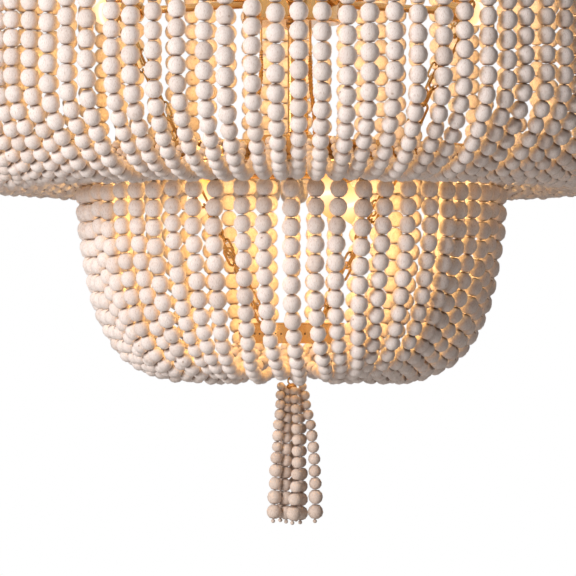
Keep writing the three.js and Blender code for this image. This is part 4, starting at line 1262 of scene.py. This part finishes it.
class CHANDELIER_OT_tassel(bpy.types.Operator):
    """String the tassel, and bend its eye and rings"""

    bl_idname = "chandelier.tassel"
    bl_label = "Tassel"

    beads: bpy.props.IntProperty(name="Beads", description="Beads on each string", default=12, min=1)

    def execute(self, context):
        radius, wire = 3.6, 0.9
        low, high = span("tassel_eye")
        eye_middle = low + wire + radius
        shank = turned("eye_shank", [
            (0, eye_middle + 3.2), (1.6, eye_middle + 3.2), (1.6, high - 3), (3.4, high - 2.4), (3.4, high),
            (0, high)], 20, 0)
        eye = upright_eye("eye_ring", radius, wire, eye_middle, 24, 10)
        gild(joined("tassel_hook", [shank, eye]), "fixture", "tassel_eye")

        ring = oval_link("tassel_jump_ring", 4.4, 4.4, wire, 28, 10)
        turn = Matrix.Rotation(math.pi / 2, 4, "Z")
        middle = height("tassel_ring", 0.5)
        gild(settle(ring, Matrix.Translation((0, 0, middle * MM)) @ turn), "tassel_ring", "tassel_ring")

        # The lowest part of the cap's eye is sunk in the cap
        eye_middle = height("tassel", 1) - wire - radius
        cap_top = eye_middle - radius + wire / 2
        cap = turned("tassel_cap", [
            (0, cap_top - 5), (5, cap_top - 5), (5.8, cap_top - 4.2), (5.6, cap_top - 3),
            (4.8, cap_top - 1.2), (3.4, cap_top), (0, cap_top)], 36, 0)
        eye = upright_eye("cap_eye", radius, wire, eye_middle, 24, 10)
        gild(joined("tassel_top", [cap, eye]), "tassel")
        self.strings(cap_top)
        return {"FINISHED"}

    def strings(self, top):
        """Seven strings that hang close together. Each starts a little lower or higher, bows by
        itself, and its beads grow unevenly towards a seed bead at the end."""
        kinds = turned_beads("thin_limed_beech", 0.07)
        dice = random.Random(5)
        placed = []
        first_width, last_width, end_width, seed_width = 8.6, 14.8, 15.4, 4.2
        # In millimetres: where each string starts and ends in plan, how far it bows to the right
        # half-way, and the top of its first bead below the cap's top
        hangs = (((-10.0, -3.5), (-17.5, -5.0), 0.5, -2.0), ((2.5, -10.0), (-1.0, -15.0), 4.5, 2.5),
                 ((10.5, -4.0), (23.5, -5.0), 4.0, -1.5), ((-4.0, 0.0), (-6.5, 3.0), -0.5, 2.0),
                 ((9.0, 5.0), (9.5, 0.5), 1.5, 4.0), ((-8.5, 6.5), (-12.0, 17.5), -0.5, 0.5),
                 ((1.0, 10.0), (4.5, 18.5), 0.5, -1.0))
        for start, end, bow, lowered in hangs:
            start, end = Vector(start), Vector(end)
            drop = lowered
            steps = max(1, self.beads - 1)
            grown = [first_width + (last_width - first_width) * i / steps for i in range(self.beads)]
            widths = [width * dice.uniform(0.92, 1.07) for width in grown]
            widths[-1] = end_width
            shrink = (sum(grown) - lowered * 0.7) / sum(widths)
            widths = [width * shrink for width in widths] + [seed_width]
            total = sum(widths)
            aside = 0.0
            for width in widths:
                share = (drop - lowered + width / 2) / total
                plan = start.lerp(end, share**0.65)
                aside += dice.gauss(0, 0.35)
                out = plan.x + bow * math.sin(math.pi * share) + aside
                spot = Vector((out, plan.y, top - drop - width / 2))
                aim = Quaternion((0, 0, 1), dice.uniform(0, math.tau))
                nod = Euler((dice.gauss(0, 0.12), dice.gauss(0, 0.12), 0)).to_quaternion()
                girth = width / 2 * dice.uniform(1.0, 1.08)
                size = Vector((girth, girth, width / 2)) * MM
                placed.append((dice.choice(kinds), Matrix.LocRotScale(spot * MM, nod @ aim, size)))
                drop += width
        beadwork("tassel_beads", placed, "tassel", "tassel")
        put_away(kinds)


# Stage


class CHANDELIER_OT_stage(bpy.types.Operator):
    """Set the floor, the white surroundings, the studio lamps and the camera"""

    bl_idname = "chandelier.stage"
    bl_label = "Stage"

    def execute(self, context):
        self.surroundings(context.scene)
        self.floor()
        self.studio_lamps()
        self.camera(context.scene)
        context.scene.view_settings.view_transform = "Standard"
        return {"FINISHED"}

    @staticmethod
    def surroundings(scene):
        """Even light on the object, with plain white behind it and in its reflections."""
        world = bpy.data.worlds.new("studio")
        world.use_nodes = True
        scene.world = world
        tree = world.node_tree
        tree.nodes.clear()
        output = add_node(tree, "ShaderNodeOutputWorld")
        ray = add_node(tree, "ShaderNodeLightPath")
        larger = {"operation": "MAXIMUM"}
        shiny = add_node(tree, "ShaderNodeMath", larger, {
            0: (ray, "Is Glossy Ray"), 1: (ray, "Is Transmission Ray")})
        seen = add_node(tree, "ShaderNodeMath", larger, {0: (ray, "Is Camera Ray"), 1: (shiny, 0)})
        fill = add_node(tree, "ShaderNodeBackground", {"Color": (*srgb("FBE4D4"), 1), "Strength": 0.1})
        white = add_node(tree, "ShaderNodeBackground", {"Color": (1, 1, 1, 1), "Strength": 1.0})
        both = add_node(tree, "ShaderNodeMixShader", links={0: (seen, 0), 1: (fill, 0), 2: (white, 0)})
        tree.links.new(both.outputs[0], output.inputs[0])

    @staticmethod
    def floor():
        """A pale painted floor, which shows near white and keeps the object's shadow."""
        bpy.ops.mesh.primitive_circle_add(vertices=96, radius=4, fill_type="NGON", location=(0, 0, -2.4))
        disc = settle(latest("studio_floor"))
        material, tree, output = new_material("pale_floor_paint")
        place = add_node(tree, "ShaderNodeTexCoord")
        stain = add_node(tree, NOISE, {"Scale": 1.5, "Detail": 3.0}, {"Vector": (place, "Object")})
        colour = add_node(tree, RAMP, links={"Fac": (stain, "Fac")}, stops=(
            (0.0, srgb("F1EFEC")), (1.0, srgb("F7F6F4"))))
        matt = add_node(tree, "ShaderNodeBsdfDiffuse", links={"Color": (colour, "Color")})
        white = add_node(tree, "ShaderNodeEmission", {"Color": (1, 1, 1, 1), "Strength": 1.0})
        ray = add_node(tree, "ShaderNodeLightPath")
        share = add_node(tree, "ShaderNodeMath", {"operation": "MULTIPLY", 1: 0.75}, {
            0: (ray, "Is Camera Ray")})
        both = add_node(tree, "ShaderNodeMixShader", links={0: (share, 0), 1: (matt, 0), 2: (white, 0)})
        tree.links.new(both.outputs[0], output.inputs[0])
        disc.data.materials.append(material)

    @staticmethod
    def studio_lamps():
        """A large soft key from the front left, and a weak one that lifts the right side."""
        target = Vector((0, 0, -0.85))
        for name, place, side, energy in (
                ("key_softbox", (-2.2, -2.5, -0.15), 1.4, 112), ("fill_softbox", (2.6, -2.2, -0.9), 2.0, 5)):
            bpy.ops.object.light_add(type="AREA", location=place)
            lamp = bpy.context.view_layer.objects.active
            lamp.name = name
            lamp.rotation_euler = (target - Vector(place)).to_track_quat("-Z", "Y").to_euler()
            lamp.data.size = side
            lamp.data.energy = energy
            lamp.data.color = srgb("FFF9F5")

    @staticmethod
    def camera(scene):
        """Stands level with the lower tier and frames the photograph's part of the fixture."""
        sideways = (PICTURE_SIDE / 2 - AXIS_PIXEL) * PIXEL_SIZE
        place = Vector((sideways, -CAMERA_DISTANCE, CAMERA_HEIGHT))
        target = Vector((sideways, 0, PICTURE_TOP - PICTURE_SIDE / 2 * PIXEL_SIZE))
        bpy.ops.object.camera_add(location=place)
        camera = bpy.context.view_layer.objects.active
        camera.name = "camera"
        camera.rotation_euler = (target - place).to_track_quat("-Z", "Y").to_euler()
        distance = (target - place).length
        camera.data.sensor_width = 36
        camera.data.lens = camera.data.sensor_width * distance / (PICTURE_SIDE * PIXEL_SIZE)
        camera.data.clip_start, camera.data.clip_end = 0.05, 60
        scene.camera = camera


STEPS = (
    CHANDELIER_OT_stage,
    CHANDELIER_OT_ceiling_fittings,
    CHANDELIER_OT_canopy,
    CHANDELIER_OT_suspension_chain,
    CHANDELIER_OT_stem_and_crown,
    CHANDELIER_OT_main_ring,
    CHANDELIER_OT_upper_lights,
    CHANDELIER_OT_dropper_leads,
    CHANDELIER_OT_lower_lights,
    CHANDELIER_OT_lamps,
    CHANDELIER_OT_lower_rings,
    CHANDELIER_OT_ring_chains,
    CHANDELIER_OT_crown_strands,
    CHANDELIER_OT_upper_strands,
    CHANDELIER_OT_lower_strands,
    CHANDELIER_OT_tassel,
)


class CHANDELIER_PT_panel(bpy.types.Panel):
    """Lists the chandelier's sizes, colours and pieces"""

    bl_idname = "CHANDELIER_PT_panel"
    bl_label = "Beaded Chandelier"
    bl_space_type = "VIEW_3D"
    bl_region_type = "UI"
    bl_category = "Chandelier"

    def draw(self, context):
        layout = self.layout
        for group in (context.scene.chandelier_sizes, context.scene.chandelier_colours):
            box = layout.box()
            for name in group.__annotations__:
                box.prop(group, name)
        for step in STEPS:
            layout.operator(step.bl_idname)


CLASSES = (ChandelierSizes, ChandelierColours, *STEPS, CHANDELIER_PT_panel)


def register():
    for cls in CLASSES:
        bpy.utils.register_class(cls)
    bpy.types.Scene.chandelier_sizes = bpy.props.PointerProperty(type=ChandelierSizes)
    bpy.types.Scene.chandelier_colours = bpy.props.PointerProperty(type=ChandelierColours)


def unregister():
    del bpy.types.Scene.chandelier_colours
    del bpy.types.Scene.chandelier_sizes
    for cls in reversed(CLASSES):
        bpy.utils.unregister_class(cls)


def main():
    register()
    for step in STEPS:
        group, name = step.bl_idname.split(".")
        getattr(getattr(bpy.ops, group), name)()


if __name__ == "__main__":
    main()
